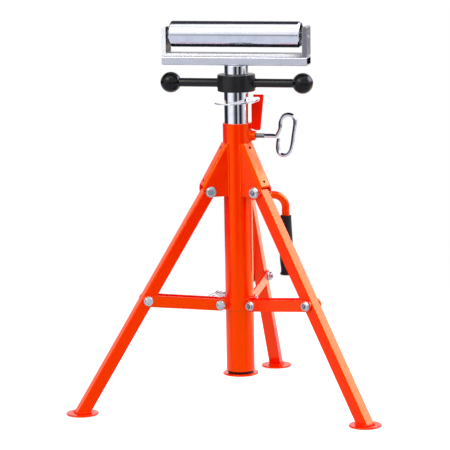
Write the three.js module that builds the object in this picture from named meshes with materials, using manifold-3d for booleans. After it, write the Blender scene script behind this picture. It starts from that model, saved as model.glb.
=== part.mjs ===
// Folding roller stand: a tripod column with a telescoping mast, a screw nut and a steel roller head.
// The origin is the centre of the column foot's underside, +Z is up and the roller lies along X.
import * as THREE from 'three';
import { mergeVertices } from 'three/addons/utils/BufferGeometryUtils.js';
import Module from 'manifold-3d';

const wasm = await Module();
wasm.setup();

// Gaps between pieces
const gap = {
  rest: 0.3,
  pivot: 0.3,
  beside: 0.8,
};

// Column tube and its foot
const column = {
  radius: 25.5,
  wall: 2.5,
  bottom: 7.5,
  topMargin: 22.5,
};
const columnFoot = {
  flangeMargin: 6.5,
  flangeThickness: 3,
  flangeEdge: 0.8,
  spigotHeight: 20,
  spigotWall: 3,
};

// Legs, seen in a plane through the column's axis
const leg = {
  width: 22,
  wall: 1.8,
  cornerRadius: 2.6,
  pivotReach: 29.5,
  pivotHeight: 339,
  topReach: 9,
  bracePoint: 224.7,
  footDrop: 51,
};
const legTilt = THREE.MathUtils.degToRad(32);
const legFoldAngle = THREE.MathUtils.degToRad(27);
const legDirections = [210, 330, 90].map((angle) => THREE.MathUtils.degToRad(angle));
const legFoot = {
  radius: 29,
  thickness: 3,
  edge: 0.7,
};

// Sheet metal bracket that carries a leg pivot
const bracket = {
  thickness: 3,
  bendRadius: 4,
  bendInnerRadius: 1,
  webClearance: 0.4,
  topRise: 85,
  bottomDrop: 9.5,
  webBottomRise: 9,
  overhang: 13,
  cornerRadius: 11,
  ventRadius: 2.2,
  upperVentInset: 7.8,
  lowerVentInset: 10.2,
};
const bracketTilt = THREE.MathUtils.degToRad(30);

// Sliding collar with its lugs
const collar = {
  wall: 3.1,
  boreClearance: 0.4,
  height: 22,
  centreRise: 1,
  pivotClearance: 4.6,
  earThickness: 3,
  earRadius: 9,
  earRootHeight: 20,
};

// Twin flat bars of each brace, whose outer end stands a little above the collar's pivot
const brace = {
  thickness: 3,
  height: 21,
  rise: 16.44,
};

// Bolts
const pivotBolt = {
  shankRadius: 5,
  flangeRadius: 9.6,
  flangeThickness: 1.6,
  acrossFlats: 16,
  headHeight: 4,
  nutHeight: 5.4,
  tail: 2.2,
};
const braceBolt = {
  shankRadius: 4,
  flangeRadius: 8.5,
  flangeThickness: 1.5,
  acrossFlats: 13,
  headHeight: 3.6,
  nutHeight: 4.6,
  tail: 2,
};

// Lock plunger on the collar
const plunger = {
  rise: 8.7,
  rodRadius: 4,
  housingWall: 1.6,
  housingLength: 8,
  housingEdge: 0.8,
  knobMargin: 1.9,
  knobGap: 0.4,
  knobWidth: 13.6,
  tabReach: 7.5,
  tabRoot: 0.8,
  tabThickness: 4,
  tabHeight: 9.6,
  tabRise: 1.6,
  eyeInset: 4.5,
  eyeRise: 3.8,
  eyeClearance: 0.6,
};
const plungerDirection = THREE.MathUtils.degToRad(150);
const pullRing = {
  radius: 11,
  wireRadius: 1,
};
const pullRingSlope = THREE.MathUtils.degToRad(30);

// Carry handle
const carryHandle = {
  barRadius: 7,
  drop: 14.3,
  reach: 63.9,
  bendRadius: 24.5,
  gripDrop: 38.7,
  gripHeight: 109.4,
  gripWall: 5,
  bottomRimRadius: 11.5,
  topRimRadius: 10.2,
  rimHeight: 4.4,
  gripFillet: 1.5,
  gripEndThickness: 3.2,
};
const gripProfileShares = [[0.817, 0.104], [0.942, 0.214], [1, 0.351], [1, 0.607], [0.892, 0.826]];
const carryHandleDirection = THREE.MathUtils.degToRad(30);

// Mast and the plate ring that grips it
const mast = {
  clearance: 0.8,
  wall: 1.6,
  footClearance: 6,
  topClearance: 5.8,
};
const brakeRing = {
  radius: 39.5,
  boreClearance: 0.6,
  thickness: 2.5,
  seatClearance: 1.7,
};
const brakeRingTilt = THREE.MathUtils.degToRad(3.5);
const brakeRingLean = THREE.MathUtils.degToRad(3);

// Hook plate that holds one side of the ring
const hook = {
  thickness: 4,
  mastMargin: 1.7,
  weldHeight: 9.5,
  bottomDrop: 12.7,
  bottomInset: 9,
  bottomWidth: 8.3,
  lipHeight: 34.4,
  seatRise: 5.6,
  seatMargin: 1.5,
  mouthMargin: 3.5,
  mouthRise: 9.2,
  fingerRise: 12.6,
  fingerThickness: 4.2,
  fingerReach: 8.7,
  outerMargin: 10,
  cornerCut: 1.2,
};

// Clamp screw with its bent rod handle
const clamp = {
  bossClearance: 3,
  bossRadius: 9.5,
  bossReach: 9.9,
  bossEdge: 1,
  threadRadius: 4,
  mastClearance: 0.4,
  threadLength: 28.4,
  shankLength: 20.6,
  rodRadius: 3.7,
  loopHeight: 73.4,
};
const clampLoopShares = [
  [0.06, 0.085], [0.105, 0.19], [0.113, 0.31], [0.14, 0.415], [0.2, 0.49], [0.288, 0.524],
  [0.394, 0.503], [0.466, 0.425], [0.478, 0.31], [0.457, 0.153], [0.429, -0.022], [0.403, -0.198],
  [0.348, -0.364], [0.268, -0.451], [0.153, -0.472], [0.068, -0.407], [0.041, -0.31],
  [0.045, -0.198], [0.058, -0.123], [0.066, -0.055],
];

// Screw nut with two ball handles
const nut = {
  radius: 33.8,
  height: 30.2,
  edge: 1.4,
  armRise: 14.6,
  armRadius: 7.8,
  ballDistance: 121,
  ballRadius: 18.6,
  socketDepth: 8.8,
};

// Screw stem of the head
const stem = {
  radius: 21,
  threadClearance: 1.4,
  threadLength: 121.8,
  wall: 4.2,
  neckLength: 16.4,
  edge: 0.8,
  spigotRadius: 14,
  spigotProud: 4.1,
};

// Rectangular base tube and cradle of the roller head
const head = {
  halfWidth: 132.4,
  depth: 36.5,
  baseHeight: 15.4,
  baseWall: 2.4,
  baseCorner: 3.4,
  baseInnerCorner: 1.4,
  strapThickness: 5,
  cheekThickness: 8.5,
  cheekRise: 15,
  cheekCorner: 3.2,
  edge: 1.1,
};

// Roller on its axle
const roller = {
  radius: 23.5,
  wall: 3,
  floorClearance: 10.3,
  endClearance: 4.9,
  chamfer: 2.6,
  axleRadius: 5,
  axleInset: 0.6,
  capInset: 2.4,
  capThickness: 12,
  capGrooveMargin: 3.7,
  capHubWall: 4.2,
  capGrooveDepth: 2,
};

// Numbers of facets
const fine = 30;
const medium = 16;
const coarse = 10;
const sweepSteps = 36;
const bendSteps = 8;
const cornerSteps = 3;

// Radii that follow from the column and its clearances
const columnInside = column.radius - column.wall;
const weldRadius = column.radius + gap.rest;
const mastRadius = columnInside - mast.clearance;
const mastInside = mastRadius - mast.wall;
const threadRadius = mastInside - stem.threadClearance;
const collarBore = column.radius + collar.boreClearance;
const collarRadius = collarBore + collar.wall;

// Half the clear width between a bracket's sides, and outer half widths of brackets and braces
const innerHalf = leg.width / 2 + gap.beside;
const bracketHalf = innerHalf + bracket.thickness;
const braceHalf = innerHalf + brace.thickness;

// Leg and brace pivots in the plane of a leg
const legPivot = {
  x: column.radius + leg.pivotReach,
  z: leg.pivotHeight,
};
const braceEnd = {
  x: legPivot.x + leg.bracePoint * Math.sin(legTilt),
  z: legPivot.z - leg.bracePoint * Math.cos(legTilt),
};
const collarPivot = {
  x: column.radius + brace.height / 2 + collar.pivotClearance,
  z: braceEnd.z - brace.rise,
};
const braceLength = Math.hypot(braceEnd.x - collarPivot.x, brace.rise);
const braceTilt = Math.atan2(brace.rise, braceEnd.x - collarPivot.x);

// How far the collar climbs when the legs are folded
const foldedTilt = legTilt - legFoldAngle;
const foldedRun = legPivot.x + leg.bracePoint * Math.sin(foldedTilt) - collarPivot.x;
const foldedDrop = Math.sqrt(braceLength ** 2 - foldedRun ** 2);
const collarTravel = legPivot.z - leg.bracePoint * Math.cos(foldedTilt) + foldedDrop - collarPivot.z;

// Heights, from the leg pivots up to the roller
const bracketTop = leg.pivotHeight + bracket.topRise;
const clampHeight = bracketTop + clamp.bossClearance + clamp.bossRadius;
const columnTop = clampHeight + column.topMargin;
const hookLip = columnTop + hook.lipHeight;
const hookFinger = hookLip + hook.fingerRise;
const hookTop = hookFinger + hook.fingerThickness;
const mastTop = hookTop + mast.topClearance;
const nutBottom = mastTop + gap.rest;
const nutTop = nutBottom + nut.height;
const stemShoulder = nutTop + gap.rest;
const stemTop = stemShoulder + stem.neckLength;
const baseBottom = stemTop + gap.rest;
const strapBottom = baseBottom + head.baseHeight + gap.rest;
const strapTop = strapBottom + head.strapThickness;
const axleHeight = strapTop + roller.floorClearance + roller.radius;
const cheekTop = axleHeight + head.cheekRise;

// Height of the tilted ring's centre, from its rim in the hook's notch
const rimHeight = hookLip + hook.seatRise + brakeRing.seatClearance;
const ringHeight = rimHeight - brakeRing.radius * Math.sin(brakeRingTilt);

// Height of the lock plunger, and stations along it
const plungerHeight = collarPivot.z + plunger.rise;
const housingEnd = collarRadius + plunger.housingLength;
const knobStart = housingEnd + plunger.knobGap;
const knobEnd = knobStart + plunger.knobWidth;
const tabEnd = knobEnd + plunger.tabReach;
const eyeDistance = tabEnd - plunger.eyeInset;

// Half length of the roller between the cradle's uprights
const rollerHalf = head.halfWidth - head.cheekThickness - roller.endClearance;

// Paints and metals
const orangePaint = new THREE.MeshStandardMaterial({ color: 0xf0420a, roughness: 0.32, metalness: 0.05 });
const chrome = new THREE.MeshStandardMaterial({ color: 0xd8d9e0, roughness: 0.12, metalness: 1 });
const zinc = new THREE.MeshStandardMaterial({ color: 0xb9bfc6, roughness: 0.35, metalness: 0.9 });
const blackPaint = new THREE.MeshStandardMaterial({ color: 0x1c1c1c, roughness: 0.4, metalness: 0.1 });
const blackGrip = new THREE.MeshStandardMaterial({ color: 0x151515, roughness: 0.6, metalness: 0 });
const brightSteel = new THREE.MeshStandardMaterial({ color: 0xc3c5d2, roughness: 0.22, metalness: 0.95 });

// A closed geometry with shared vertices and its faces pointing out
function closed(geometry) {
  const bare = geometry.clone();
  bare.deleteAttribute('normal');
  bare.deleteAttribute('uv');
  const merged = mergeVertices(bare);
  const position = merged.attributes.position;
  const index = merged.index.array;
  const corner = [new THREE.Vector3(), new THREE.Vector3(), new THREE.Vector3()];
  const kept = [];
  let volume = 0;
  for (let i = 0; i < index.length; i += 3) {
    const [a, b, c] = [index[i], index[i + 1], index[i + 2]];
    if (a === b || b === c || c === a) continue;
    kept.push(a, b, c);
    [a, b, c].forEach((vertex, k) => corner[k].fromBufferAttribute(position, vertex));
    volume += corner[0].dot(corner[1].cross(corner[2]));
  }
  if (volume < 0) {
    for (let i = 0; i < kept.length; i += 3) [kept[i], kept[i + 1]] = [kept[i + 1], kept[i]];
  }
  merged.setIndex(kept);
  return merged;
}

// A solid from a three.js geometry
function solid(geometry) {
  const body = closed(geometry);
  return new wasm.Manifold(new wasm.Mesh({
    numProp: 3,
    vertProperties: new Float32Array(body.attributes.position.array),
    triVerts: new Uint32Array(body.index.array),
  }));
}

// A three.js geometry from a solid
function geometryOf(body) {
  const mesh = body.getMesh();
  const geometry = new THREE.BufferGeometry();
  geometry.setAttribute('position', new THREE.BufferAttribute(new Float32Array(mesh.vertProperties), 3));
  geometry.setIndex(new THREE.BufferAttribute(new Uint32Array(mesh.triVerts), 1));
  geometry.computeVertexNormals();
  return geometry;
}

// A turned body about Z from an outline of [radius, height] points
function turned(outline, facets) {
  const points = outline.map(([radius, height]) => new THREE.Vector2(radius, height));
  return closed(new THREE.LatheGeometry(points, facets).rotateX(Math.PI / 2));
}

// A round rod along Z between two heights
function rodZ(radius, bottom, top, facets) {
  const rod = new THREE.CylinderGeometry(radius, radius, top - bottom, facets);
  return rod.rotateX(Math.PI / 2).translate(0, 0, (top + bottom) / 2);
}

// A round rod along X between two distances
function rodX(radius, start, end, facets) {
  const rod = new THREE.CylinderGeometry(radius, radius, end - start, facets);
  return rod.rotateZ(Math.PI / 2).translate((start + end) / 2, 0, 0);
}

// A round rod along Y, centred on Y = 0
function rodY(radius, length, facets) {
  return new THREE.CylinderGeometry(radius, radius, length, facets);
}

// A rectangle with round corners
function roundedRectangle(width, height, radius) {
  const shape = new THREE.Shape();
  const x = width / 2;
  const y = height / 2;
  shape.moveTo(x - radius, -y);
  shape.absarc(x - radius, -y + radius, radius, -Math.PI / 2, 0);
  shape.absarc(x - radius, y - radius, radius, 0, Math.PI / 2);
  shape.absarc(-x + radius, y - radius, radius, Math.PI / 2, Math.PI);
  shape.absarc(-x + radius, -y + radius, radius, Math.PI, 1.5 * Math.PI);
  shape.closePath();
  return shape;
}

// A plate cut from an outline of X and Z, centred on Y = 0
function plateXZ(shape, thickness, curveSegments) {
  const plate = new THREE.ExtrudeGeometry(shape, { depth: thickness, bevelEnabled: false, curveSegments });
  return plate.rotateX(Math.PI / 2).translate(0, thickness / 2, 0);
}

// A polygon from a list of points
function polygon(points) {
  return new THREE.Shape(points.map(([x, y]) => new THREE.Vector2(x, y)));
}

// A plain tube about Z
function plainTube(outer, inner, bottom, top, facets) {
  return turned([[inner, bottom], [outer, bottom], [outer, top], [inner, top], [inner, bottom]], facets);
}

// A tube with chamfered outer ends, about Z
function chamferedTube(outer, inner, bottom, top, chamfer, facets) {
  return turned([
    [inner, bottom], [outer - chamfer, bottom], [outer, bottom + chamfer],
    [outer, top - chamfer], [outer - chamfer, top], [inner, top], [inner, bottom],
  ], facets);
}

const stand = new THREE.Group();

// Adds a named mesh to a group
function add(group, name, geometry, material) {
  const mesh = new THREE.Mesh(geometry, material);
  mesh.name = name;
  group.add(mesh);
  return mesh;
}

// A group turned about the column's axis
function turnedGroup(angle) {
  const group = new THREE.Group();
  group.rotation.z = angle;
  stand.add(group);
  return group;
}

// Column tube with its lock holes and the clamp screw's hole
function columnTube() {
  let body = solid(plainTube(column.radius, columnInside, column.bottom, columnTop, fine));
  for (const height of [plungerHeight, plungerHeight + collarTravel]) {
    const hole = rodX(plunger.rodRadius + gap.pivot, 0, 2 * column.radius, coarse);
    body = body.subtract(solid(hole.rotateZ(plungerDirection).translate(0, 0, height)));
  }
  const screwHole = rodX(clamp.threadRadius + gap.pivot, 0, 2 * column.radius, coarse);
  return geometryOf(body.subtract(solid(screwHole.translate(0, 0, clampHeight))));
}

// Flanged plug that closes the column's lower end
function columnFootPlug() {
  const spigot = columnInside - gap.rest;
  const hollow = spigot - columnFoot.spigotWall;
  const edge = columnFoot.flangeEdge;
  const radius = column.radius + columnFoot.flangeMargin;
  const thickness = columnFoot.flangeThickness;
  return turned([
    [0, 0], [radius - edge, 0], [radius, edge], [radius, thickness - edge], [radius - edge, thickness],
    [spigot, thickness], [spigot, columnFoot.spigotHeight], [hollow, columnFoot.spigotHeight],
    [hollow, thickness], [0, thickness],
  ], fine);
}

// Outline of the bracket's section: two sides and an outer web with round bends
function channelSection(depth) {
  const shape = new THREE.Shape();
  const bend = bracket.bendRadius;
  const inner = bracket.bendInnerRadius;
  const floor = bracket.thickness;
  shape.moveTo(-depth, -bracketHalf);
  shape.lineTo(-bend, -bracketHalf);
  shape.absarc(-bend, -bracketHalf + bend, bend, -Math.PI / 2, 0);
  shape.lineTo(0, bracketHalf - bend);
  shape.absarc(-bend, bracketHalf - bend, bend, 0, Math.PI / 2);
  shape.lineTo(-depth, bracketHalf);
  shape.lineTo(-depth, innerHalf);
  shape.lineTo(-floor - inner, innerHalf);
  shape.absarc(-floor - inner, innerHalf - inner, inner, Math.PI / 2, 0, true);
  shape.lineTo(-floor, -innerHalf + inner);
  shape.absarc(-floor - inner, -innerHalf + inner, inner, 0, -Math.PI / 2, true);
  shape.lineTo(-depth, -innerHalf);
  shape.closePath();
  return shape;
}

// Side view of the bracket
function bracketProfile() {
  const shape = new THREE.Shape();
  const corner = bracket.cornerRadius;
  const outer = legPivot.x + bracket.overhang;
  const bottom = legPivot.z - bracket.bottomDrop;
  shape.moveTo(0, bottom);
  shape.lineTo(outer - corner, bottom);
  shape.absarc(outer - corner, bottom + corner, corner, -Math.PI / 2, 0);
  shape.lineTo(outer, bracketTop);
  shape.lineTo(0, bracketTop);
  shape.closePath();
  return shape;
}

// Leg bracket: a bent channel, trimmed to its side view and to the column
function legBracket() {
  const webDistance = Math.hypot(leg.width / 2, leg.topReach) + bracket.webClearance + bracket.thickness;
  const span = 2 * (bracket.topRise + bracket.bottomDrop);
  const channel = new THREE.ExtrudeGeometry(channelSection(legPivot.x + webDistance), {
    depth: span, bevelEnabled: false, curveSegments: cornerSteps,
  });
  channel.translate(webDistance, 0, -span / 4);
  channel.rotateY(-bracketTilt).translate(legPivot.x, 0, legPivot.z);
  let body = solid(channel).intersect(solid(plateXZ(bracketProfile(), 4 * bracketHalf, 2 * cornerSteps)));
  const webBottom = legPivot.z + bracket.webBottomRise;
  const windowHeight = bracket.webBottomRise + bracket.bottomDrop + bracket.overhang;
  const window = new THREE.BoxGeometry(2 * legPivot.x, 2 * innerHalf, windowHeight);
  body = body.subtract(solid(window.translate(weldRadius + legPivot.x, 0, webBottom - windowHeight / 2)));
  body = body.subtract(solid(rodZ(weldRadius, 0, 2 * bracketTop, fine)));
  const hole = rodY(pivotBolt.shankRadius + gap.pivot, 4 * bracketHalf, coarse);
  body = body.subtract(solid(hole.translate(legPivot.x, 0, legPivot.z)));
  const upperVent = bracket.topRise - bracket.upperVentInset;
  const lowerVent = bracket.webBottomRise + bracket.lowerVentInset;
  for (const rise of [upperVent, lowerVent]) {
    const distance = (webDistance - rise * Math.sin(bracketTilt)) / Math.cos(bracketTilt);
    const vent = rodX(bracket.ventRadius, -2 * bracket.thickness, 2 * bracket.thickness, coarse);
    vent.rotateY(-bracketTilt).translate(legPivot.x + distance, 0, legPivot.z + rise);
    body = body.subtract(solid(vent));
  }
  return geometryOf(body);
}

// Bolt across Y: a flanged head on one side and a flanged nut on the other
function boltAcross(bolt, half) {
  const hexRadius = bolt.acrossFlats / Math.sqrt(3);
  const reach = half + gap.rest;
  const headTop = reach + bolt.flangeThickness + bolt.headHeight;
  const nutTop = reach + bolt.flangeThickness + bolt.nutHeight;
  const shankStart = reach + bolt.flangeThickness;
  const shankEnd = nutTop + bolt.tail;
  const shank = rodY(bolt.shankRadius, shankStart + shankEnd, coarse);
  let body = solid(shank.translate(0, (shankStart - shankEnd) / 2, 0));
  for (const [side, end] of [[1, headTop], [-1, nutTop]]) {
    const flange = rodY(bolt.flangeRadius, bolt.flangeThickness, medium);
    body = body.add(solid(flange.translate(0, side * (reach + bolt.flangeThickness / 2), 0)));
    const hexagon = rodY(hexRadius, end - reach, 6);
    body = body.add(solid(hexagon.translate(0, side * (reach + end) / 2, 0)));
  }
  return body;
}

// Half of a bolt that sits on one brace bar only
function boltStub(bolt, side) {
  const inside = innerHalf + gap.rest;
  const keep = new THREE.BoxGeometry(4 * bolt.flangeRadius, 4 * braceHalf, 4 * bolt.flangeRadius);
  keep.translate(0, side * (inside + 2 * braceHalf), 0);
  return geometryOf(boltAcross(bolt, braceHalf).intersect(solid(keep)));
}

// Leg tube, drawn along Z with its pivot at the origin and cut level for its foot
function legTube() {
  const section = roundedRectangle(leg.width, leg.width, leg.cornerRadius);
  const hollow = leg.width - 2 * leg.wall;
  section.holes.push(roundedRectangle(hollow, hollow, leg.cornerRadius - leg.wall));
  const floor = -leg.footDrop + legFoot.thickness + gap.rest;
  const span = leg.topReach + leg.width + (legPivot.z - floor) / Math.cos(legTilt);
  const tube = new THREE.ExtrudeGeometry(section, {
    depth: span, bevelEnabled: false, curveSegments: cornerSteps - 1,
  });
  let body = solid(tube.translate(0, 0, leg.topReach - span));
  const pivotHole = rodY(pivotBolt.shankRadius + gap.pivot, 2 * leg.width, coarse);
  const braceHole = rodY(braceBolt.shankRadius + gap.pivot, 2 * leg.width, coarse);
  body = body.subtract(solid(pivotHole));
  body = body.subtract(solid(braceHole.translate(0, 0, -leg.bracePoint)));
  const geometry = geometryOf(body).rotateY(-legTilt).translate(legPivot.x, 0, legPivot.z);
  const ground = new THREE.BoxGeometry(2 * span, 2 * leg.width, span);
  ground.translate(0, 0, floor - span / 2);
  return geometryOf(solid(geometry).subtract(solid(ground)));
}

// Round foot plate under a leg
function footPlate() {
  const reach = legPivot.z + leg.footDrop - legFoot.thickness;
  const centre = legPivot.x + reach * Math.tan(legTilt);
  const { radius, thickness, edge } = legFoot;
  const plate = turned([
    [0, 0], [radius - edge, 0], [radius, edge], [radius, thickness - edge], [radius - edge, thickness],
    [0, thickness],
  ], fine);
  return plate.translate(centre, 0, -leg.footDrop);
}

// One ear of a collar lug, seen from the side
function earShape() {
  const shape = new THREE.Shape();
  const { earRadius, earRootHeight } = collar;
  const root = collarRadius - collar.wall / 2;
  shape.moveTo(root, collarPivot.z - earRootHeight / 2);
  shape.lineTo(collarPivot.x, collarPivot.z - earRadius);
  shape.absarc(collarPivot.x, collarPivot.z, earRadius, -Math.PI / 2, Math.PI / 2);
  shape.lineTo(root, collarPivot.z + earRootHeight / 2);
  shape.closePath();
  return shape;
}

// Sliding collar: a ring with a pair of ears towards each leg
function collarRing() {
  const bottom = collarPivot.z + collar.centreRise - collar.height / 2;
  const top = bottom + collar.height;
  let body = solid(plainTube(collarRadius, collarBore, bottom, top, fine));
  for (const angle of legDirections) {
    for (const side of [1, -1]) {
      const offset = side * (leg.width - collar.earThickness) / 2;
      const ear = plateXZ(earShape(), collar.earThickness, cornerSteps + 1).translate(0, offset, 0);
      const hole = rodY(braceBolt.shankRadius + gap.pivot, 4 * bracketHalf, coarse);
      const cut = solid(ear).subtract(solid(hole.translate(collarPivot.x, 0, collarPivot.z)));
      body = body.add(solid(geometryOf(cut).rotateZ(angle)));
    }
  }
  body = body.subtract(solid(rodZ(collarBore, bottom - collar.height, top + collar.height, fine)));
  const nose = rodX(plunger.rodRadius + gap.pivot, 0, 2 * collarRadius, coarse).rotateZ(plungerDirection);
  return geometryOf(body.subtract(solid(nose.translate(0, 0, plungerHeight))));
}

// One flat bar of a brace, from the collar pivot along X
function braceBar() {
  const radius = brace.height / 2;
  const shape = new THREE.Shape();
  shape.moveTo(0, -radius);
  shape.absarc(braceLength, 0, radius, -Math.PI / 2, Math.PI / 2);
  shape.absarc(0, 0, radius, Math.PI / 2, 1.5 * Math.PI);
  for (const distance of [0, braceLength]) {
    const hole = new THREE.Path();
    hole.absarc(distance, 0, braceBolt.shankRadius + gap.pivot, 0, 2 * Math.PI, true);
    shape.holes.push(hole);
  }
  return closed(plateXZ(shape, brace.thickness, cornerSteps + 2));
}

// Housing of the lock plunger, along X
function plungerHousing() {
  const bore = plunger.rodRadius + gap.pivot;
  const tube = chamferedTube(bore + plunger.housingWall, bore, 0, housingEnd, plunger.housingEdge, coarse);
  const trim = rodZ(collarRadius + gap.rest, -collar.height, collar.height, fine);
  return geometryOf(solid(tube.rotateY(Math.PI / 2)).subtract(solid(trim)));
}

// Lock plunger with its flat eye, along X
function lockPlunger() {
  let body = solid(rodX(plunger.rodRadius, weldRadius, knobEnd, coarse));
  body = body.add(solid(rodX(plunger.rodRadius + plunger.knobMargin, knobStart, knobEnd, coarse)));
  const tabStart = knobEnd - plunger.tabRoot;
  const tab = new THREE.BoxGeometry(tabEnd - tabStart, plunger.tabThickness, plunger.tabHeight);
  body = body.add(solid(tab.translate((tabEnd + tabStart) / 2, 0, plunger.tabRise)));
  const eye = rodY(pullRing.wireRadius + plunger.eyeClearance, 2 * plunger.tabThickness, coarse);
  return geometryOf(body.subtract(solid(eye.translate(eyeDistance, 0, plunger.eyeRise))));
}

// Pull ring through the plunger's eye
function pullRingWire() {
  const ring = new THREE.TorusGeometry(pullRing.radius, pullRing.wireRadius, coarse - 4, medium);
  ring.translate(pullRing.radius, 0, 0).rotateY(pullRingSlope);
  return closed(ring.translate(eyeDistance, 0, plunger.eyeRise));
}

// Heights of the carry handle's bar and grip, and its distance from the column's axis
const handleHeight = leg.pivotHeight - carryHandle.drop;
const handleReach = column.radius + carryHandle.reach;
const gripTop = handleHeight - carryHandle.gripDrop;
const gripBottom = gripTop - carryHandle.gripHeight;

// Bent bar of the carry handle
function carryHandleBar() {
  const { bendRadius, barRadius } = carryHandle;
  const points = [new THREE.Vector3(columnInside, 0, handleHeight)];
  for (let i = 0; i <= bendSteps; i += 1) {
    const angle = Math.PI / 2 * (1 - i / bendSteps);
    const out = handleReach - bendRadius + bendRadius * Math.cos(angle);
    points.push(new THREE.Vector3(out, 0, handleHeight - bendRadius + bendRadius * Math.sin(angle)));
  }
  const barEnd = gripBottom + carryHandle.gripEndThickness + gap.rest;
  points.push(new THREE.Vector3(handleReach, 0, barEnd));
  const path = new THREE.CurvePath();
  for (let i = 1; i < points.length; i += 1) path.add(new THREE.LineCurve3(points[i - 1], points[i]));
  const section = new THREE.Shape();
  section.absarc(0, 0, barRadius, 0, 2 * Math.PI);
  const bar = new THREE.ExtrudeGeometry(section, {
    steps: 2 * bendSteps, extrudePath: path, curveSegments: cornerSteps + 3,
  });
  const trim = rodZ(weldRadius, handleHeight - 2 * barRadius, handleHeight + 2 * barRadius, fine);
  return geometryOf(solid(bar).subtract(solid(trim)));
}

// Barrel shaped sleeve grip with a rim at its mouth and a closed lower end
function carryHandleGrip() {
  const { barRadius, gripHeight, bottomRimRadius, topRimRadius, gripFillet: fillet } = carryHandle;
  const bore = barRadius + gap.rest;
  const radius = barRadius + carryHandle.gripWall;
  const floor = gripBottom + carryHandle.gripEndThickness;
  const barrel = gripProfileShares.map(([out, up]) => [out * radius, gripBottom + up * gripHeight]);
  const grip = turned([
    [0, gripBottom], [bottomRimRadius - fillet, gripBottom], [bottomRimRadius, gripBottom + fillet],
    [bottomRimRadius, gripBottom + carryHandle.rimHeight], ...barrel,
    [topRimRadius, gripTop - fillet], [topRimRadius - fillet, gripTop],
    [bore, gripTop], [bore, floor], [0, floor],
  ], medium);
  return grip.translate(handleReach, 0, 0);
}

// Mast tube
function mastTube() {
  const bottom = columnFoot.spigotHeight + mast.footClearance;
  return plainTube(mastRadius, mastInside, bottom, mastTop, fine);
}

// Plate ring around the mast, held tilted by the hook
function brakeRingPlate() {
  const half = brakeRing.thickness / 2;
  return plainTube(brakeRing.radius, mastRadius + brakeRing.boreClearance, -half, half, fine);
}

// Hook plate beside the column's top, with a notch for the ring's rim
function hookPlate() {
  const bottom = columnTop - hook.bottomDrop;
  const bottomInner = column.radius + hook.bottomInset;
  const mastSide = column.radius + hook.mastMargin;
  const columnEdge = columnTop + 2 * gap.rest;
  const outer = brakeRing.radius + hook.outerMargin;
  const mouth = brakeRing.radius + hook.mouthMargin;
  return closed(plateXZ(polygon([
    [bottomInner, bottom], [bottomInner + hook.bottomWidth, bottom],
    [outer, hookTop - hook.cornerCut], [outer - hook.cornerCut, hookTop],
    [mastRadius + hook.fingerReach, hookTop], [mastRadius + hook.fingerReach, hookFinger],
    [mouth - hook.cornerCut, hookFinger], [mouth, hookLip + hook.mouthRise],
    [brakeRing.radius + hook.seatMargin, hookLip + hook.seatRise], [mastSide, hookLip],
    [mastSide, columnEdge], [weldRadius, columnEdge], [weldRadius, columnTop - hook.weldHeight],
  ]), hook.thickness, 1));
}

// Round boss that the clamp screw turns in, along X
function clampBoss() {
  const bore = clamp.threadRadius + gap.pivot;
  const end = column.radius + clamp.bossReach;
  const tube = chamferedTube(clamp.bossRadius, bore, 0, end, clamp.bossEdge, medium);
  const trim = rodZ(weldRadius, -2 * clamp.bossRadius, 2 * clamp.bossRadius, fine);
  return geometryOf(solid(tube.rotateY(Math.PI / 2)).subtract(solid(trim)));
}

// Clamp screw: a threaded rod whose end is bent into a loop
function clampScrew() {
  const threadStart = mastRadius + clamp.mastClearance;
  const threadEnd = threadStart + clamp.threadLength;
  const shankEnd = threadEnd + clamp.shankLength;
  const points = [threadEnd - clamp.threadRadius, shankEnd - 2 * clamp.rodRadius, shankEnd].map(
    (distance) => new THREE.Vector3(distance, 0, 0));
  for (const [out, up] of clampLoopShares) {
    points.push(new THREE.Vector3(shankEnd + out * clamp.loopHeight, 0, up * clamp.loopHeight));
  }
  const section = new THREE.Shape();
  section.absarc(0, 0, clamp.rodRadius, 0, 2 * Math.PI);
  const path = new THREE.CatmullRomCurve3(points, false, 'centripetal');
  const loop = new THREE.ExtrudeGeometry(section, {
    steps: sweepSteps, extrudePath: path, curveSegments: cornerSteps + 2,
  });
  return geometryOf(solid(rodX(clamp.threadRadius, threadStart, threadEnd, coarse)).add(solid(loop)));
}

// Round body of the screw nut
function nutBody() {
  return chamferedTube(nut.radius, threadRadius + gap.pivot, nutBottom, nutTop, nut.edge, fine);
}

// Distance at which a handle arm ends inside its ball
const armEnd = nut.ballDistance - nut.ballRadius + nut.socketDepth;

// Handle arm of the nut, along X
function nutArm() {
  const arm = rodX(nut.armRadius, 0, armEnd - gap.rest, coarse);
  const trim = rodZ(nut.radius + gap.rest, -2 * nut.armRadius, 2 * nut.armRadius, fine);
  return geometryOf(solid(arm).subtract(solid(trim)));
}

// Ball on the end of an arm, with the socket that the arm sits in
function nutBall() {
  const ball = new THREE.SphereGeometry(nut.ballRadius, medium, coarse).rotateZ(Math.PI / 2);
  const socket = rodX(nut.armRadius + gap.rest, 0, armEnd, coarse);
  return geometryOf(solid(ball.translate(nut.ballDistance, 0, 0)).subtract(solid(socket)));
}

// Hollow screw stem with a smooth neck and a spigot for the head
function stemTube() {
  const { radius, edge, wall, spigotRadius } = stem;
  const bore = threadRadius - wall;
  const bottom = stemShoulder - stem.threadLength;
  const spigotTop = baseBottom + head.baseWall + stem.spigotProud;
  return turned([
    [bore, bottom], [threadRadius, bottom], [threadRadius, stemShoulder], [radius - edge, stemShoulder],
    [radius, stemShoulder + edge], [radius, stemTop - edge], [radius - edge, stemTop],
    [spigotRadius, stemTop], [spigotRadius, spigotTop], [spigotRadius - wall, spigotTop],
    [spigotRadius - wall, stemTop - wall], [bore, stemShoulder], [bore, bottom],
  ], fine);
}

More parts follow.
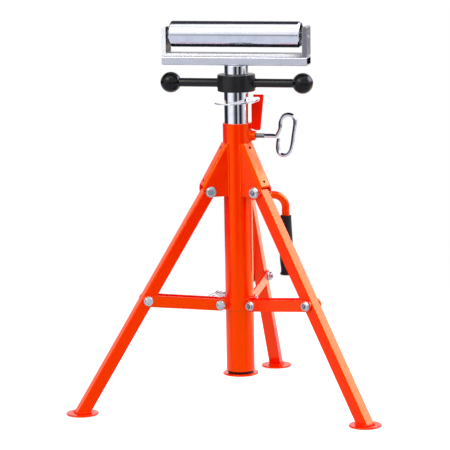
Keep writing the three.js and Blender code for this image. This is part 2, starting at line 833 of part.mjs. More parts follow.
// Rectangular base tube of the head, open at both ends
function headBase() {
  const section = roundedRectangle(head.baseHeight, head.depth, head.baseCorner);
  const walls = 2 * head.baseWall;
  section.holes.push(roundedRectangle(head.baseHeight - walls, head.depth - walls, head.baseInnerCorner));
  const tube = new THREE.ExtrudeGeometry(section, {
    depth: 2 * head.halfWidth, bevelEnabled: false, curveSegments: cornerSteps + 1,
  });
  tube.translate(0, 0, -head.halfWidth).rotateY(Math.PI / 2);
  tube.translate(0, 0, baseBottom + head.baseHeight / 2);
  const hole = rodZ(stem.spigotRadius + gap.pivot, stemTop, baseBottom + head.baseHeight / 2, fine);
  return geometryOf(solid(tube).subtract(solid(hole)));
}

// Side view of the cradle: a strap with an upright at each end
function cradleShape() {
  const shape = new THREE.Shape();
  const outer = head.halfWidth;
  const inner = outer - head.cheekThickness;
  const corner = head.cheekCorner;
  shape.moveTo(-outer, strapBottom);
  shape.lineTo(outer, strapBottom);
  shape.lineTo(outer, cheekTop - corner);
  shape.absarc(outer - corner, cheekTop - corner, corner, 0, Math.PI / 2);
  shape.absarc(inner + corner, cheekTop - corner, corner, Math.PI / 2, Math.PI);
  shape.lineTo(inner, strapTop);
  shape.lineTo(-inner, strapTop);
  shape.lineTo(-inner, cheekTop - corner);
  shape.absarc(-inner - corner, cheekTop - corner, corner, 0, Math.PI / 2);
  shape.absarc(-outer + corner, cheekTop - corner, corner, Math.PI / 2, Math.PI);
  shape.closePath();
  return shape;
}

// Cradle with bevelled edges and two axle holes
function cradle() {
  const plate = new THREE.ExtrudeGeometry(cradleShape(), {
    depth: head.depth - 2 * head.edge,
    bevelEnabled: true,
    bevelThickness: head.edge,
    bevelSize: head.edge,
    bevelOffset: -head.edge,
    bevelSegments: 1,
    curveSegments: cornerSteps,
  });
  plate.rotateX(Math.PI / 2).translate(0, head.depth / 2 - head.edge, 0);
  const hole = rodX(roller.axleRadius + gap.rest, -2 * head.halfWidth, 2 * head.halfWidth, coarse);
  return geometryOf(solid(plate).subtract(solid(hole.translate(0, 0, axleHeight))));
}

// Axle of the roller
function rollerAxle() {
  const half = head.halfWidth - roller.axleInset;
  return closed(rodX(roller.axleRadius, -half, half, coarse));
}

// Roller tube, along X
function rollerTube() {
  const inside = roller.radius - roller.wall;
  const tube = chamferedTube(roller.radius, inside, -rollerHalf, rollerHalf, roller.chamfer, fine);
  return tube.rotateY(Math.PI / 2);
}

// End cap of the roller with a grooved face, along X
function rollerCap() {
  const outer = roller.radius - roller.wall - gap.rest;
  const bore = roller.axleRadius + gap.pivot;
  const face = rollerHalf - roller.capInset;
  const back = face - roller.capThickness;
  const floor = face - roller.capGrooveDepth;
  const grooveOuter = outer - roller.capGrooveMargin;
  const grooveInner = bore + roller.capHubWall;
  const cap = turned([
    [bore, back], [outer, back], [outer, face], [grooveOuter, face], [grooveOuter, floor],
    [grooveInner, floor], [grooveInner, face], [bore, face], [bore, back],
  ], medium);
  return cap.rotateY(Math.PI / 2);
}

// Column with the pieces that are welded to it
add(stand, 'column_tube', columnTube(), orangePaint);
add(stand, 'column_foot', columnFootPlug(), orangePaint);
add(stand, 'hook_plate', hookPlate(), orangePaint);
add(stand, 'clamp_boss', clampBoss(), orangePaint).position.z = clampHeight;
const handleGroup = turnedGroup(carryHandleDirection);
add(handleGroup, 'carry_handle_bar', carryHandleBar(), orangePaint);
add(handleGroup, 'carry_handle_grip', carryHandleGrip(), blackGrip);

// Three legs with their brackets and braces
legDirections.forEach((angle, i) => {
  const group = turnedGroup(angle);
  const number = i + 1;
  add(group, `leg_bracket_${number}`, legBracket(), orangePaint);
  const pivot = add(group, `leg_pivot_bolt_${number}`, geometryOf(boltAcross(pivotBolt, bracketHalf)), zinc);
  pivot.position.set(legPivot.x, 0, legPivot.z);
  add(group, `leg_tube_${number}`, legTube(), orangePaint);
  add(group, `leg_foot_${number}`, footPlate(), orangePaint);
  const collarBolt = add(group, `collar_bolt_${number}`, geometryOf(boltAcross(braceBolt, braceHalf)), zinc);
  collarBolt.position.set(collarPivot.x, 0, collarPivot.z);
  for (const [side, letter, kind] of [[1, 'a', 'head'], [-1, 'b', 'nut']]) {
    const bar = add(group, `brace_${number}_bar_${letter}`, braceBar(), orangePaint);
    bar.position.set(collarPivot.x, side * (innerHalf + brace.thickness / 2), collarPivot.z);
    bar.rotation.y = -braceTilt;
    const stub = add(group, `brace_${number}_bolt_${kind}`, boltStub(braceBolt, side), zinc);
    stub.position.set(braceEnd.x, 0, braceEnd.z);
  }
});

// Collar and its lock plunger
add(stand, 'collar', collarRing(), orangePaint);
const plungerGroup = turnedGroup(plungerDirection);
plungerGroup.position.z = plungerHeight;
add(plungerGroup, 'plunger_housing', plungerHousing(), zinc);
add(plungerGroup, 'lock_plunger', lockPlunger(), zinc);
add(plungerGroup, 'pull_ring', pullRingWire(), chrome);

// Mast, grip ring and clamp screw
add(stand, 'mast_tube', mastTube(), chrome);
const ring = add(stand, 'brake_ring', brakeRingPlate(), chrome);
ring.position.z = ringHeight;
ring.rotation.set(brakeRingLean, -brakeRingTilt, 0);
add(stand, 'clamp_screw', clampScrew(), chrome).position.z = clampHeight;

// Screw nut with its handles
add(stand, 'nut_body', nutBody(), blackPaint);
for (const [angle, letter] of [[0, 'right'], [Math.PI, 'left']]) {
  const group = turnedGroup(angle);
  group.position.z = nutBottom + nut.armRise;
  add(group, `nut_arm_${letter}`, nutArm(), blackPaint);
  add(group, `nut_ball_${letter}`, nutBall(), blackPaint);
}

// Stem, head and roller
add(stand, 'stem_tube', stemTube(), chrome);
add(stand, 'head_base', headBase(), brightSteel);
add(stand, 'head_cradle', cradle(), brightSteel);
add(stand, 'roller_axle', rollerAxle(), zinc).position.z = axleHeight;
add(stand, 'roller_tube', rollerTube(), brightSteel).position.z = axleHeight;
for (const [angle, letter] of [[0, 'right'], [Math.PI, 'left']]) {
  const group = turnedGroup(angle);
  group.position.z = axleHeight;
  add(group, `roller_cap_${letter}`, rollerCap(), zinc);
}

export default stand;
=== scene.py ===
import math

import bmesh
import bpy
from mathutils import Matrix, Vector


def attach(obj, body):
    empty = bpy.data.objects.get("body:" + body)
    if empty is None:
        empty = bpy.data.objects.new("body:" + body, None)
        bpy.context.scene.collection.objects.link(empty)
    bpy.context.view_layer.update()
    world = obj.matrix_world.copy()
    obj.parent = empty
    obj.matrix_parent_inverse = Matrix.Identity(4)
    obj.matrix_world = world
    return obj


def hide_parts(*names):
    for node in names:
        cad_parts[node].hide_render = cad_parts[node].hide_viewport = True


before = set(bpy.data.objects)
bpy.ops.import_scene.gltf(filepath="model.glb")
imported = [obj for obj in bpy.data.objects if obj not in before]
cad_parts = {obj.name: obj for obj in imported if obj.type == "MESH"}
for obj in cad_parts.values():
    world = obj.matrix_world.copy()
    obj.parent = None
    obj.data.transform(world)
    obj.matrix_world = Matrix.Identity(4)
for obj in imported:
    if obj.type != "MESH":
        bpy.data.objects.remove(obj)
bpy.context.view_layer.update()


# Studio: the camera at the photograph's angle, a round pale floor that keeps the stand's
# shadow, a plain white surround and soft lamps. Glossy paint and polished metal mirror a
# room of pale, dark and warm panels instead, which stands still round the stand.

VIEW_AZIMUTH = math.radians(13.483)
VIEW_PITCH = 0.16453
VIEW_ROLL = -0.01622
VIEW_YAW = -0.00542
VIEW_DISTANCE = 4.5
VIEW_HEIGHT = 1.0720
FLOOR_LEVEL = -0.051
FLOOR_SINK = 0.0006
FLOOR_RADIUS = 1.6
LENS_PIXELS = 2531.68
PICTURE_WIDTH = 450
SENSOR_WIDTH = 36
LAMP_AIM = Vector((0, 0, 0.30))
LAMP_DISTANCE = 2.6
WHITE = (1, 1, 1, 1)
MIRRORED_STRENGTH = 1.15
FLOOR_MIRRORED = (0.66, 0.70, 0.80, 1)
WARM_SHEET = (1.6, 1.35, 1.0, 1)
SOFT_BOX = 3.5


def set_up(name, data):
    made = bpy.data.objects.new(name, data)
    bpy.context.scene.collection.objects.link(made)
    return made


def mesh_of(name, body):
    mesh = bpy.data.meshes.new(name)
    body.to_mesh(mesh)
    body.free()
    return mesh


def place_camera():
    forward = Vector((math.sin(VIEW_YAW) * math.cos(VIEW_PITCH), math.cos(VIEW_YAW) * math.cos(VIEW_PITCH),
                      -math.sin(VIEW_PITCH)))
    level = Vector((math.cos(VIEW_YAW), -math.sin(VIEW_YAW), 0))
    upright = level.cross(forward)
    right = math.cos(VIEW_ROLL) * level + math.sin(VIEW_ROLL) * upright
    up = -math.sin(VIEW_ROLL) * level + math.cos(VIEW_ROLL) * upright
    turn = Matrix((right, up, -forward)).transposed().to_4x4()
    stand = Matrix.Translation((0, -VIEW_DISTANCE, VIEW_HEIGHT + FLOOR_LEVEL))
    camera = set_up("camera", bpy.data.cameras.new("camera"))
    camera.data.sensor_width = SENSOR_WIDTH
    camera.data.lens = SENSOR_WIDTH * LENS_PIXELS / PICTURE_WIDTH
    camera.matrix_world = Matrix.Rotation(VIEW_AZIMUTH, 4, "Z") @ stand @ turn
    bpy.context.scene.camera = camera


def link(tree, source, target):
    tree.links.new(source, target)


# A value named in_X goes to the input X, as a link if it is a socket of another node
def node(tree, kind, **values):
    made = tree.nodes.new(kind)
    for name, value in values.items():
        if name.startswith("in_"):
            key = name[3:]
            socket = made.inputs[int(key)] if key.isdigit() else made.inputs[key.replace("_", " ")]
            if isinstance(value, bpy.types.NodeSocket):
                link(tree, value, socket)
            else:
                socket.default_value = value
        else:
            setattr(made, name, value)
    return made


def maths(tree, operation, first, second):
    return node(tree, "ShaderNodeMath", operation=operation, in_0=first, in_1=second).outputs[0]


def blend(tree, share, first, second, kind="RGBA"):
    return node(tree, "ShaderNodeMix", data_type=kind, in_Factor=share, in_A=first,
                in_B=second).outputs["Result"]


def spread(tree, value, low, high, **more):
    return node(tree, "ShaderNodeMapRange", in_Value=value, in_1=low, in_2=high, **more).outputs[0]


def either(tree, share, first, second):
    return node(tree, "ShaderNodeMixShader", in_0=share, in_1=first, in_2=second).outputs[0]


def ramp(tree, factor, stops):
    made = node(tree, "ShaderNodeValToRGB", in_0=factor)
    made.color_ramp.interpolation = "EASE"
    points = made.color_ramp.elements
    for place, value in stops[:-2]:
        points.new(place)
    for point, (place, value) in zip(points, stops):
        point.position = place
        point.color = (value, value, value, 1) if isinstance(value, (int, float)) else (*value, 1)
    return made.outputs["Color"]


# One where a value lies between two ends, and fading to nought past them
def window(tree, value, opens, full, fades, shuts):
    return ramp(tree, value, [(0.0, 0.0), (opens, 0.0), (full, 1.0), (fades, 1.0), (shuts, 0.0), (1.0, 0.0)])


def build_world():
    world = bpy.data.worlds.new("room")
    bpy.context.scene.world = world
    world.use_nodes = True
    tree = world.node_tree
    tree.nodes.clear()
    place = node(tree, "ShaderNodeTexCoord").outputs["Generated"]
    turned = node(tree, "ShaderNodeMapping", vector_type="POINT", in_Vector=place,
                  in_Rotation=(0, 0, -VIEW_AZIMUTH)).outputs["Vector"]
    parts = node(tree, "ShaderNodeSeparateXYZ", in_0=turned).outputs
    back = maths(tree, "MULTIPLY", parts["Y"], -1.0)
    around = spread(tree, maths(tree, "ARCTAN2", parts["X"], back), -math.pi, math.pi)
    height = spread(tree, parts["Z"], -1.0, 1.0)

    def at(degrees):
        return 0.5 + degrees / 360

    def grey(value):
        return (value * 0.97, value * 0.985, value * 1.03 + 0.012)

    panels = ramp(tree, around, [(at(angle), grey(value)) for angle, value in (
        (-180, 0.03), (-150, 0.04), (-129, 0.04), (-112, 0.012), (-98, 0.02), (-89, 0.55), (-78, 0.97),
        (-62, 1.00), (-46, 1.00), (-37, 0.88), (-28, 0.45), (-22, 0.16), (-6, 0.015), (1, 0.02), (8, 0.52),
        (18, 0.52), (25, 0.015), (38, 0.015), (47, 0.14), (57, 0.50), (69, 0.80), (82, 0.95), (95, 0.90),
        (110, 0.45), (124, 0.05), (134, 0.04), (146, 0.20), (158, 0.16), (168, 0.03), (180, 0.03))])
    ceiling = ramp(tree, height, [(0.0, 0.0), (0.493, 0.0), (0.54, 0.8), (0.60, 1.0), (0.838, 1.0),
                                  (0.865, 0.62), (0.892, 1.0), (1.0, 1.0)])
    front = maths(tree, "MULTIPLY", ceiling, spread(tree, back, -0.15, 0.05))
    top = ramp(tree, height, [(0.0, 0.0), (0.972, 0.0), (0.988, 1.0), (1.0, 1.0)])
    low_wall = window(tree, height, 0.50, 0.525, 0.62, 0.74)
    rear = maths(tree, "MULTIPLY", low_wall, spread(tree, back, -0.3, -0.7))
    lifted = maths(tree, "MAXIMUM", maths(tree, "MAXIMUM", front, top), rear)
    room = blend(tree, lifted, panels, (0.97, 0.98, 1.0, 1))
    # the wall behind on the left is warm and dim
    left_wall = window(tree, around, at(-168), at(-158), at(-136), at(-124))
    room = blend(tree, maths(tree, "MULTIPLY", left_wall, rear), room, (1.0, 0.80, 0.56, 1))
    # a soft box, high on the right, that glossy paint and metal mirror
    card = maths(tree, "MULTIPLY", window(tree, around, at(66), at(78), at(128), at(138)),
                 window(tree, height, 0.60, 0.64, 0.86, 0.90))
    room = blend(tree, card, room, (SOFT_BOX, 0.66 * SOFT_BOX, 1.3 * SOFT_BOX, 1))
    below = ramp(tree, height, [(0.0, 1.0), (0.385, 1.0), (0.415, 0.0), (1.0, 0.0)])
    room = blend(tree, below, room, FLOOR_MIRRORED)
    # a warm sheet behind on the right, just above the floor
    sheet = maths(tree, "MULTIPLY", window(tree, around, at(124), at(138), at(166), at(176)),
                  window(tree, height, 0.33, 0.36, 0.438, 0.450))
    room = blend(tree, sheet, room, WARM_SHEET)
    shine = node(tree, "ShaderNodeBackground", in_Color=room, in_Strength=MIRRORED_STRENGTH).outputs[0]
    plain = node(tree, "ShaderNodeBackground", in_Color=(0.95, 0.96, 1.0, 1), in_Strength=0.67).outputs[0]
    white = node(tree, "ShaderNodeBackground", in_Color=WHITE, in_Strength=1.0).outputs[0]
    path = node(tree, "ShaderNodeLightPath").outputs
    seen = either(tree, path["Is Glossy Ray"], plain, shine)
    seen = either(tree, path["Is Camera Ray"], seen, white)
    seen = either(tree, path["Is Transmission Ray"], seen, white)
    node(tree, "ShaderNodeOutputWorld", in_Surface=seen)


def build_floor():
    sheet = bmesh.new()
    bmesh.ops.create_circle(sheet, cap_ends=True, radius=FLOOR_RADIUS, segments=96,
                            matrix=Matrix.Translation((0, 0, FLOOR_LEVEL - FLOOR_SINK)))
    floor = set_up("studio_floor", mesh_of("studio_floor", sheet))
    paper = bpy.data.materials.new("pale_floor")
    paper.use_nodes = True
    tree = paper.node_tree
    tree.nodes.clear()
    place = node(tree, "ShaderNodeTexCoord").outputs["Object"]
    flat = node(tree, "ShaderNodeVectorMath", operation="MULTIPLY", in_0=place, in_1=(1, 1, 0)).outputs[0]
    distance = node(tree, "ShaderNodeVectorMath", operation="LENGTH", in_0=flat).outputs["Value"]
    edge = spread(tree, distance, 0.55, 1.25, interpolation_type="SMOOTHSTEP")
    lit = node(tree, "ShaderNodeBsdfDiffuse", in_Color=(0.80, 0.80, 0.81, 1)).outputs[0]
    lift = node(tree, "ShaderNodeEmission", in_Color=WHITE, in_Strength=0.47).outputs[0]
    both = node(tree, "ShaderNodeAddShader", in_0=lit, in_1=lift).outputs[0]
    white = node(tree, "ShaderNodeEmission", in_Color=WHITE, in_Strength=1.0).outputs[0]
    # far behind on the right, paint mirrors the floor paler and warmer
    behind = node(tree, "ShaderNodeVectorMath", operation="DOT_PRODUCT", in_0=flat,
                  in_1=(0.5, 0.866, 0)).outputs["Value"]
    tone = blend(tree, spread(tree, behind, 0.55, 0.85), FLOOR_MIRRORED, WARM_SHEET)
    mirrored = node(tree, "ShaderNodeEmission", in_Color=tone, in_Strength=MIRRORED_STRENGTH).outputs[0]
    path = node(tree, "ShaderNodeLightPath").outputs
    seen = either(tree, path["Is Camera Ray"], lit, either(tree, edge, both, white))
    seen = either(tree, path["Is Glossy Ray"], seen, mirrored)
    clear = node(tree, "ShaderNodeBsdfTransparent").outputs[0]
    facing = node(tree, "ShaderNodeNewGeometry").outputs["Backfacing"]
    node(tree, "ShaderNodeOutputMaterial", in_Surface=either(tree, facing, seen, clear))
    floor.data.materials.append(paper)


def hang_lamp(name, azimuth, elevation, width, height, power, colour):
    lamp = bpy.data.lights.new(name, "AREA")
    lamp.shape = "RECTANGLE"
    lamp.size = width
    lamp.size_y = height
    lamp.energy = power
    lamp.color = colour
    angle = VIEW_AZIMUTH + math.radians(azimuth)
    rise = math.radians(elevation)
    away = Vector((math.sin(angle) * math.cos(rise), -math.cos(angle) * math.cos(rise), math.sin(rise)))
    holder = set_up(name, lamp)
    holder.location = LAMP_AIM + LAMP_DISTANCE * away
    holder.rotation_mode = "QUATERNION"
    holder.rotation_quaternion = away.to_track_quat("Z", "Y")


place_camera()
build_world()
build_floor()
hang_lamp("key_lamp", -48, 42, 1.4, 1.2, 26, (1.0, 0.98, 0.95))
hang_lamp("rim_lamp", 103, 31, 2.0, 1.5, 44, (1.0, 1.0, 1.0))
hang_lamp("top_lamp", 20, 80, 1.6, 1.6, 12, (1.0, 1.0, 1.0))
bpy.context.scene.view_settings.view_transform = "Standard"


# Column: a stock 51 mm steel tube, sawn square, drilled for the lock plunger and the clamp
# screw, with a pressed flanged foot in its lower end. All of it is welded, then powder coated
# a glossy orange.

COLUMN_RADIUS = 0.0255
COLUMN_WALL = 0.0025
COLUMN_BOTTOM = 0.0075
COLUMN_TOP = 0.459
SAWN_EDGE = 0.0007
FOOT_RADIUS = 0.032
FOOT_FLANGE = 0.003
PLUG_RADIUS = 0.0227
PLUG_INSIDE = 0.0197
PLUG_TOP = 0.020
SHADED_FROM = 0.0031
M8_HOLE = 0.0043
LOCK_DIRECTION = math.radians(150)
LOCK_HEIGHTS = (0.140704, 0.253978)
CLAMP_HEIGHT = 0.4365
SHARP_CORNER = math.radians(48)
ON_AXIS = 1e-8
# Drawings that rise along Z, laid along X
LAID = Matrix.Rotation(math.pi / 2, 4, "Y")


def round_corners(points, radius, steps=4):
    made = []
    count = len(points)
    for i in range(count):
        before, here, after = (Vector(points[j % count]) for j in (i - 1, i, i + 1))
        back, ahead = before - here, after - here
        reach = radius[i] if isinstance(radius, (list, tuple)) else radius
        if reach <= 0 or back.length < 1e-9 or ahead.length < 1e-9:
            made.append(here)
            continue
        half = back.angle(ahead) / 2
        if half > math.radians(89):
            made.append(here)
            continue
        cut = min(reach / math.tan(half), 0.49 * back.length, 0.49 * ahead.length)
        size = cut * math.tan(half)
        centre = here + (back.normalized() + ahead.normalized()).normalized() * size / math.sin(half)
        start = here + back.normalized() * cut - centre
        end = here + ahead.normalized() * cut - centre
        sweep = start.angle_signed(end)
        for k in range(steps + 1):
            angle = -sweep * k / steps
            made.append(centre + Matrix.Rotation(angle, 2) @ start)
    return [tuple(p) for p in made]


# Faces are smooth up to sharp corners, and large flat ones stay flat beside their narrow rounded edges
def even_shading(piece):
    for face in piece.data.polygons:
        face.use_smooth = True
    piece.data.set_sharp_from_angle(angle=SHARP_CORNER)
    piece.modifiers.new("even_shading", "WEIGHTED_NORMAL").keep_sharp = True
    return piece


def settle(piece):
    settled = bpy.data.meshes.new_from_object(
        piece.evaluated_get(bpy.context.evaluated_depsgraph_get()))
    piece.modifiers.clear()
    settled.name = piece.name
    piece.data = settled
    return even_shading(piece)


def piece_from(name, body, material, place=None):
    bmesh.ops.remove_doubles(body, verts=body.verts, dist=1e-7)
    bmesh.ops.recalc_face_normals(body, faces=body.faces)
    made = set_up(name, mesh_of(name, body))
    if place is not None:
        made.data.transform(place)
    if material is not None:
        made.data.materials.append(material)
    return even_shading(made)


def circle(radius, steps):
    return [(radius * math.cos(2 * math.pi * k / steps), radius * math.sin(2 * math.pi * k / steps))
            for k in range(steps)]


def join_rings(body, rings, closed):
    pairs = list(zip(rings, rings[1:])) + ([(rings[-1], rings[0])] if closed else [])
    for low, high in pairs:
        for k in range(len(low)):
            after = (k + 1) % len(low)
            corners = list(dict.fromkeys([low[k], low[after], high[after], high[k]]))
            if len(corners) > 2:
                body.faces.new(corners)


# An outline of radius and height, spun round Z. It starts and ends on the axis, or closes on itself
def turn_piece(name, outline, steps, material, place=None):
    body = bmesh.new()
    rings = []
    for radius, height in outline:
        if radius < ON_AXIS:
            rings.append([body.verts.new((0, 0, height))] * steps)
        else:
            rings.append([body.verts.new((x, y, height)) for x, y in circle(radius, steps)])
    join_rings(body, rings, outline[0][0] > ON_AXIS)
    return piece_from(name, body, material, place)


def tube_outline(outer, inner, bottom, top, edge):
    return round_corners([(inner, bottom), (outer, bottom), (outer, top), (inner, top)], edge)


def discard(*pieces):
    for piece in pieces:
        bpy.data.objects.remove(piece)


def drill(piece, holes, keep=False):
    piece.modifiers.clear()
    for cutter in holes:
        step = piece.modifiers.new("cut", "BOOLEAN")
        step.operation = "INTERSECT" if keep else "DIFFERENCE"
        step.solver = "EXACT"
        step.object = cutter
    settle(piece)
    discard(*holes)
    return piece


def rod_along(axis, radius, start, end, place=None, steps=32):
    turn = {"X": LAID, "Y": Matrix.Rotation(-math.pi / 2, 4, "X"), "Z": Matrix.Identity(4)}[axis]
    return turn_piece("cutter", [(0, start), (radius, start), (radius, end), (0, end)], steps, None,
                      (place or Matrix.Identity(4)) @ turn)


def fit(piece, body, cad_node=None):
    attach(piece, body)
    if cad_node:
        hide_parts(cad_node)


# Faces that still have the first material and are chosen get another
def refinish(piece, material, chosen):
    piece.data.materials.append(material)
    for face in piece.data.polygons:
        if face.material_index == 0 and chosen(face):
            face.material_index = len(piece.data.materials) - 1


def node_group(name, kind, inputs, outputs):
    tree = bpy.data.node_groups.new(name, kind)
    for title, sort, *value in inputs:
        socket = tree.interface.new_socket(name=title, in_out="INPUT", socket_type="NodeSocket" + sort)
        if value:
            socket.default_value = value[0]
    for title, sort in outputs:
        tree.interface.new_socket(name=title, in_out="OUTPUT", socket_type="NodeSocket" + sort)
    return tree, tree.nodes.new("NodeGroupInput").outputs, tree.nodes.new("NodeGroupOutput").inputs


def group_in(tree, group, **values):
    made = node(tree, "ShaderNodeGroup", node_tree=group)
    for title, value in values.items():
        made.inputs[title.replace("_", " ")].default_value = value
    return made.outputs


def object_place(tree):
    return node(tree, "ShaderNodeTexCoord").outputs["Object"]


def noise(tree, place, size, **more):
    return node(tree, "ShaderNodeTexNoise", in_Vector=place, in_Scale=size, **more).outputs[0]


# Fine ripple of a sprayed or powder coated skin
coat_skin, given, wanted = node_group(
    "coat_skin", "ShaderNodeTree",
    [("Ripple size", "Float", 420.0), ("Grain size", "Float", 2600.0), ("Grain share", "Float", 0.15)],
    [("Height", "Float")])
place = object_place(coat_skin)
ripple = noise(coat_skin, place, given["Ripple size"], in_Detail=1.5)
grain = noise(coat_skin, place, given["Grain size"], in_Detail=1.0)
link(coat_skin, blend(coat_skin, given["Grain share"], ripple, grain, "FLOAT"), wanted["Height"])

# Slow changes of tone and gloss from the coat's thickness, handling and dust
handled_tone, given, wanted = node_group(
    "handled_tone", "ShaderNodeTree",
    [("Colour", "Color", WHITE), ("Deep colour", "Color", (0, 0, 0, 1)), ("Cloud size", "Float", 9.0),
     ("Cloud share", "Float", 0.12), ("Gloss low", "Float", 0.2), ("Gloss high", "Float", 0.3)],
    [("Colour", "Color"), ("Roughness", "Float")])
place = object_place(handled_tone)
cloud = noise(handled_tone, place, given["Cloud size"], in_Detail=3.0)
smear = noise(handled_tone, place, 46.0, in_Detail=4.0, in_Roughness=0.6, in_Distortion=0.4)
part_of = maths(handled_tone, "MULTIPLY", cloud, given["Cloud share"])
link(handled_tone, blend(handled_tone, part_of, given["Colour"], given["Deep colour"]), wanted["Colour"])
link(handled_tone, spread(handled_tone, smear, 0.35, 0.7, in_3=given["Gloss low"],
                          in_4=given["Gloss high"]), wanted["Roughness"])


def start_material(name, metallic=0.0, ior=1.5):
    made = bpy.data.materials.new(name)
    made.use_nodes = True
    shader = made.node_tree.nodes["Principled BSDF"].inputs
    shader["Metallic"].default_value = metallic
    shader["IOR"].default_value = ior
    return made, made.node_tree, shader


def finish_surface(tree, shader, colour, roughness, height, bump):
    link(tree, colour, shader["Base Color"])
    link(tree, roughness, shader["Roughness"])
    relief = node(tree, "ShaderNodeBump", in_Height=height, in_Strength=bump[0], in_Distance=bump[1])
    link(tree, relief.outputs["Normal"], shader["Normal"])


# A coat of paint or plastic: clouds and ripple are each a size and a share, gloss is a low and a
# high roughness, and bump is a strength and a depth
def coated(name, colour, deep_colour, clouds, gloss, ripple, bump, mirror, tint=WHITE, ior=1.5,
           grain_size=2600.0):
    made, tree, shader = start_material(name, ior=ior)
    tone = group_in(tree, handled_tone, Colour=(*colour, 1), Deep_colour=(*deep_colour, 1),
                    Cloud_size=clouds[0], Cloud_share=clouds[1], Gloss_low=gloss[0], Gloss_high=gloss[1])
    skin = group_in(tree, coat_skin, Ripple_size=ripple[0], Grain_share=ripple[1], Grain_size=grain_size)
    finish_surface(tree, shader, tone["Colour"], tone["Roughness"], skin["Height"], bump)
    shader["Specular Tint"].default_value = tint
    shader["Specular IOR Level"].default_value = mirror
    return made


def powder_coat(name, gloss, colour=(0.97, 0.004, 0.0), tint=(1.0, 0.78, 0.01, 1)):
    return coated(name, colour, (0.85, 0.3 * colour[1], 0.0), (7.0, 0.20), gloss, (520.0, 0.35),
                  (0.14, 0.0002), 0.95, tint, 1.52)


def even_material(name, colour, roughness, metallic=0.0, mirror=0.5):
    made, tree, shader = start_material(name, metallic)
    shader["Base Color"].default_value = (*colour, 1)
    shader["Roughness"].default_value = roughness
    shader["Specular IOR Level"].default_value = mirror
    return made


orange_paint = powder_coat("orange_paint", (0.17, 0.25))

column_holes = [rod_along("X", M8_HOLE, 0, 0.05, Matrix.Translation((0, 0, height))
                          @ Matrix.Rotation(LOCK_DIRECTION, 4, "Z")) for height in LOCK_HEIGHTS]
column_holes.append(rod_along("X", M8_HOLE, 0, 0.05, Matrix.Translation((0, 0, CLAMP_HEIGHT))))
column = turn_piece("column_body", tube_outline(
    COLUMN_RADIUS, COLUMN_RADIUS - COLUMN_WALL, COLUMN_BOTTOM, COLUMN_TOP, SAWN_EDGE), 128, orange_paint)
drill(column, column_holes)
fit(column, "column", "column_tube")

foot_outline = round_corners(
    [(0, 0), (FOOT_RADIUS, 0), (FOOT_RADIUS, FOOT_FLANGE), (PLUG_RADIUS, FOOT_FLANGE),
     (PLUG_RADIUS, PLUG_TOP), (PLUG_INSIDE, PLUG_TOP), (PLUG_INSIDE, FOOT_FLANGE), (0, FOOT_FLANGE)],
    [0, 0.0012, 0.0012, 0.0008, 0.0008, 0.0005, 0.001, 0])
column_foot = turn_piece("column_foot_plug", foot_outline, 96, orange_paint)
# the plug's neck is painted near black, a painted shade in the gap between the tube's end and the flange
dark_primer = even_material("dark_primer", (0.012, 0.003, 0.002), 0.6, mirror=0.2)
refinish(column_foot, dark_primer, lambda face: face.center.z > SHADED_FROM)
fit(column_foot, "column", "column_foot")


# Leg brackets: 3 mm steel sheet bent to a channel, its web sloping like the leg, trimmed to a
# hooked side view, notched for the leg and welded upright to the column at three places.

LEG_DIRECTIONS = [math.radians(angle) for angle in (210, 330, 90)]
PIVOT_OUT = 0.055
PIVOT_HEIGHT = 0.339
PIVOT = Vector((PIVOT_OUT, 0, PIVOT_HEIGHT))
M10_HOLE = 0.0053
INNER_HALF = 0.0118
SHEET = 0.003
WEB_TILT = math.radians(30)
WEB_DISTANCE = 0.017613
BRACKET_OUT = 0.068
BRACKET_BOTTOM = 0.3295
BRACKET_TOP = 0.424
LEG_NOTCH_TOP = 0.348
VENT_HEIGHTS = (0.4162, 0.3582)
VENT_RADIUS = 0.0026
VENT_DEPTH = 0.0022
WELD_RADIUS = 0.0258


def extrude_outline(outline, low, high):
    body = bmesh.new()
    bottom = [body.verts.new((x, y, low)) for x, y in outline]
    top = [body.verts.new((x, y, high)) for x, y in outline]
    body.faces.new(bottom[::-1])
    body.faces.new(top)
    for i in range(len(outline)):
        j = (i + 1) % len(outline)
        body.faces.new([bottom[i], bottom[j], top[j], top[i]])
    return body


def block(size, centre):
    body = bmesh.new()
    bmesh.ops.create_cube(body, size=1, matrix=Matrix.Translation(centre) @ Matrix.Diagonal((*size, 1)))
    return piece_from("cutter", body, None)


# Drawings of X and Z, raised along Y
SIDEWAYS = Matrix.Rotation(math.pi / 2, 4, "X")


def soften_edges(piece, width, steps=2, angle=40):
    piece.modifiers.clear()
    bevel = piece.modifiers.new("edges", "BEVEL")
    bevel.width = width
    bevel.segments = steps
    bevel.limit_method = "ANGLE"
    bevel.angle_limit = math.radians(angle)
    bevel.use_clamp_overlap = True
    bevel.miter_outer = "MITER_ARC"
    return settle(piece)


hole_shade = even_material("hole_shade", (0.006, 0.004, 0.004), 0.6)


def pin_hole(radius, place):
    return rod_along("Y", radius, -0.03, 0.03, place)


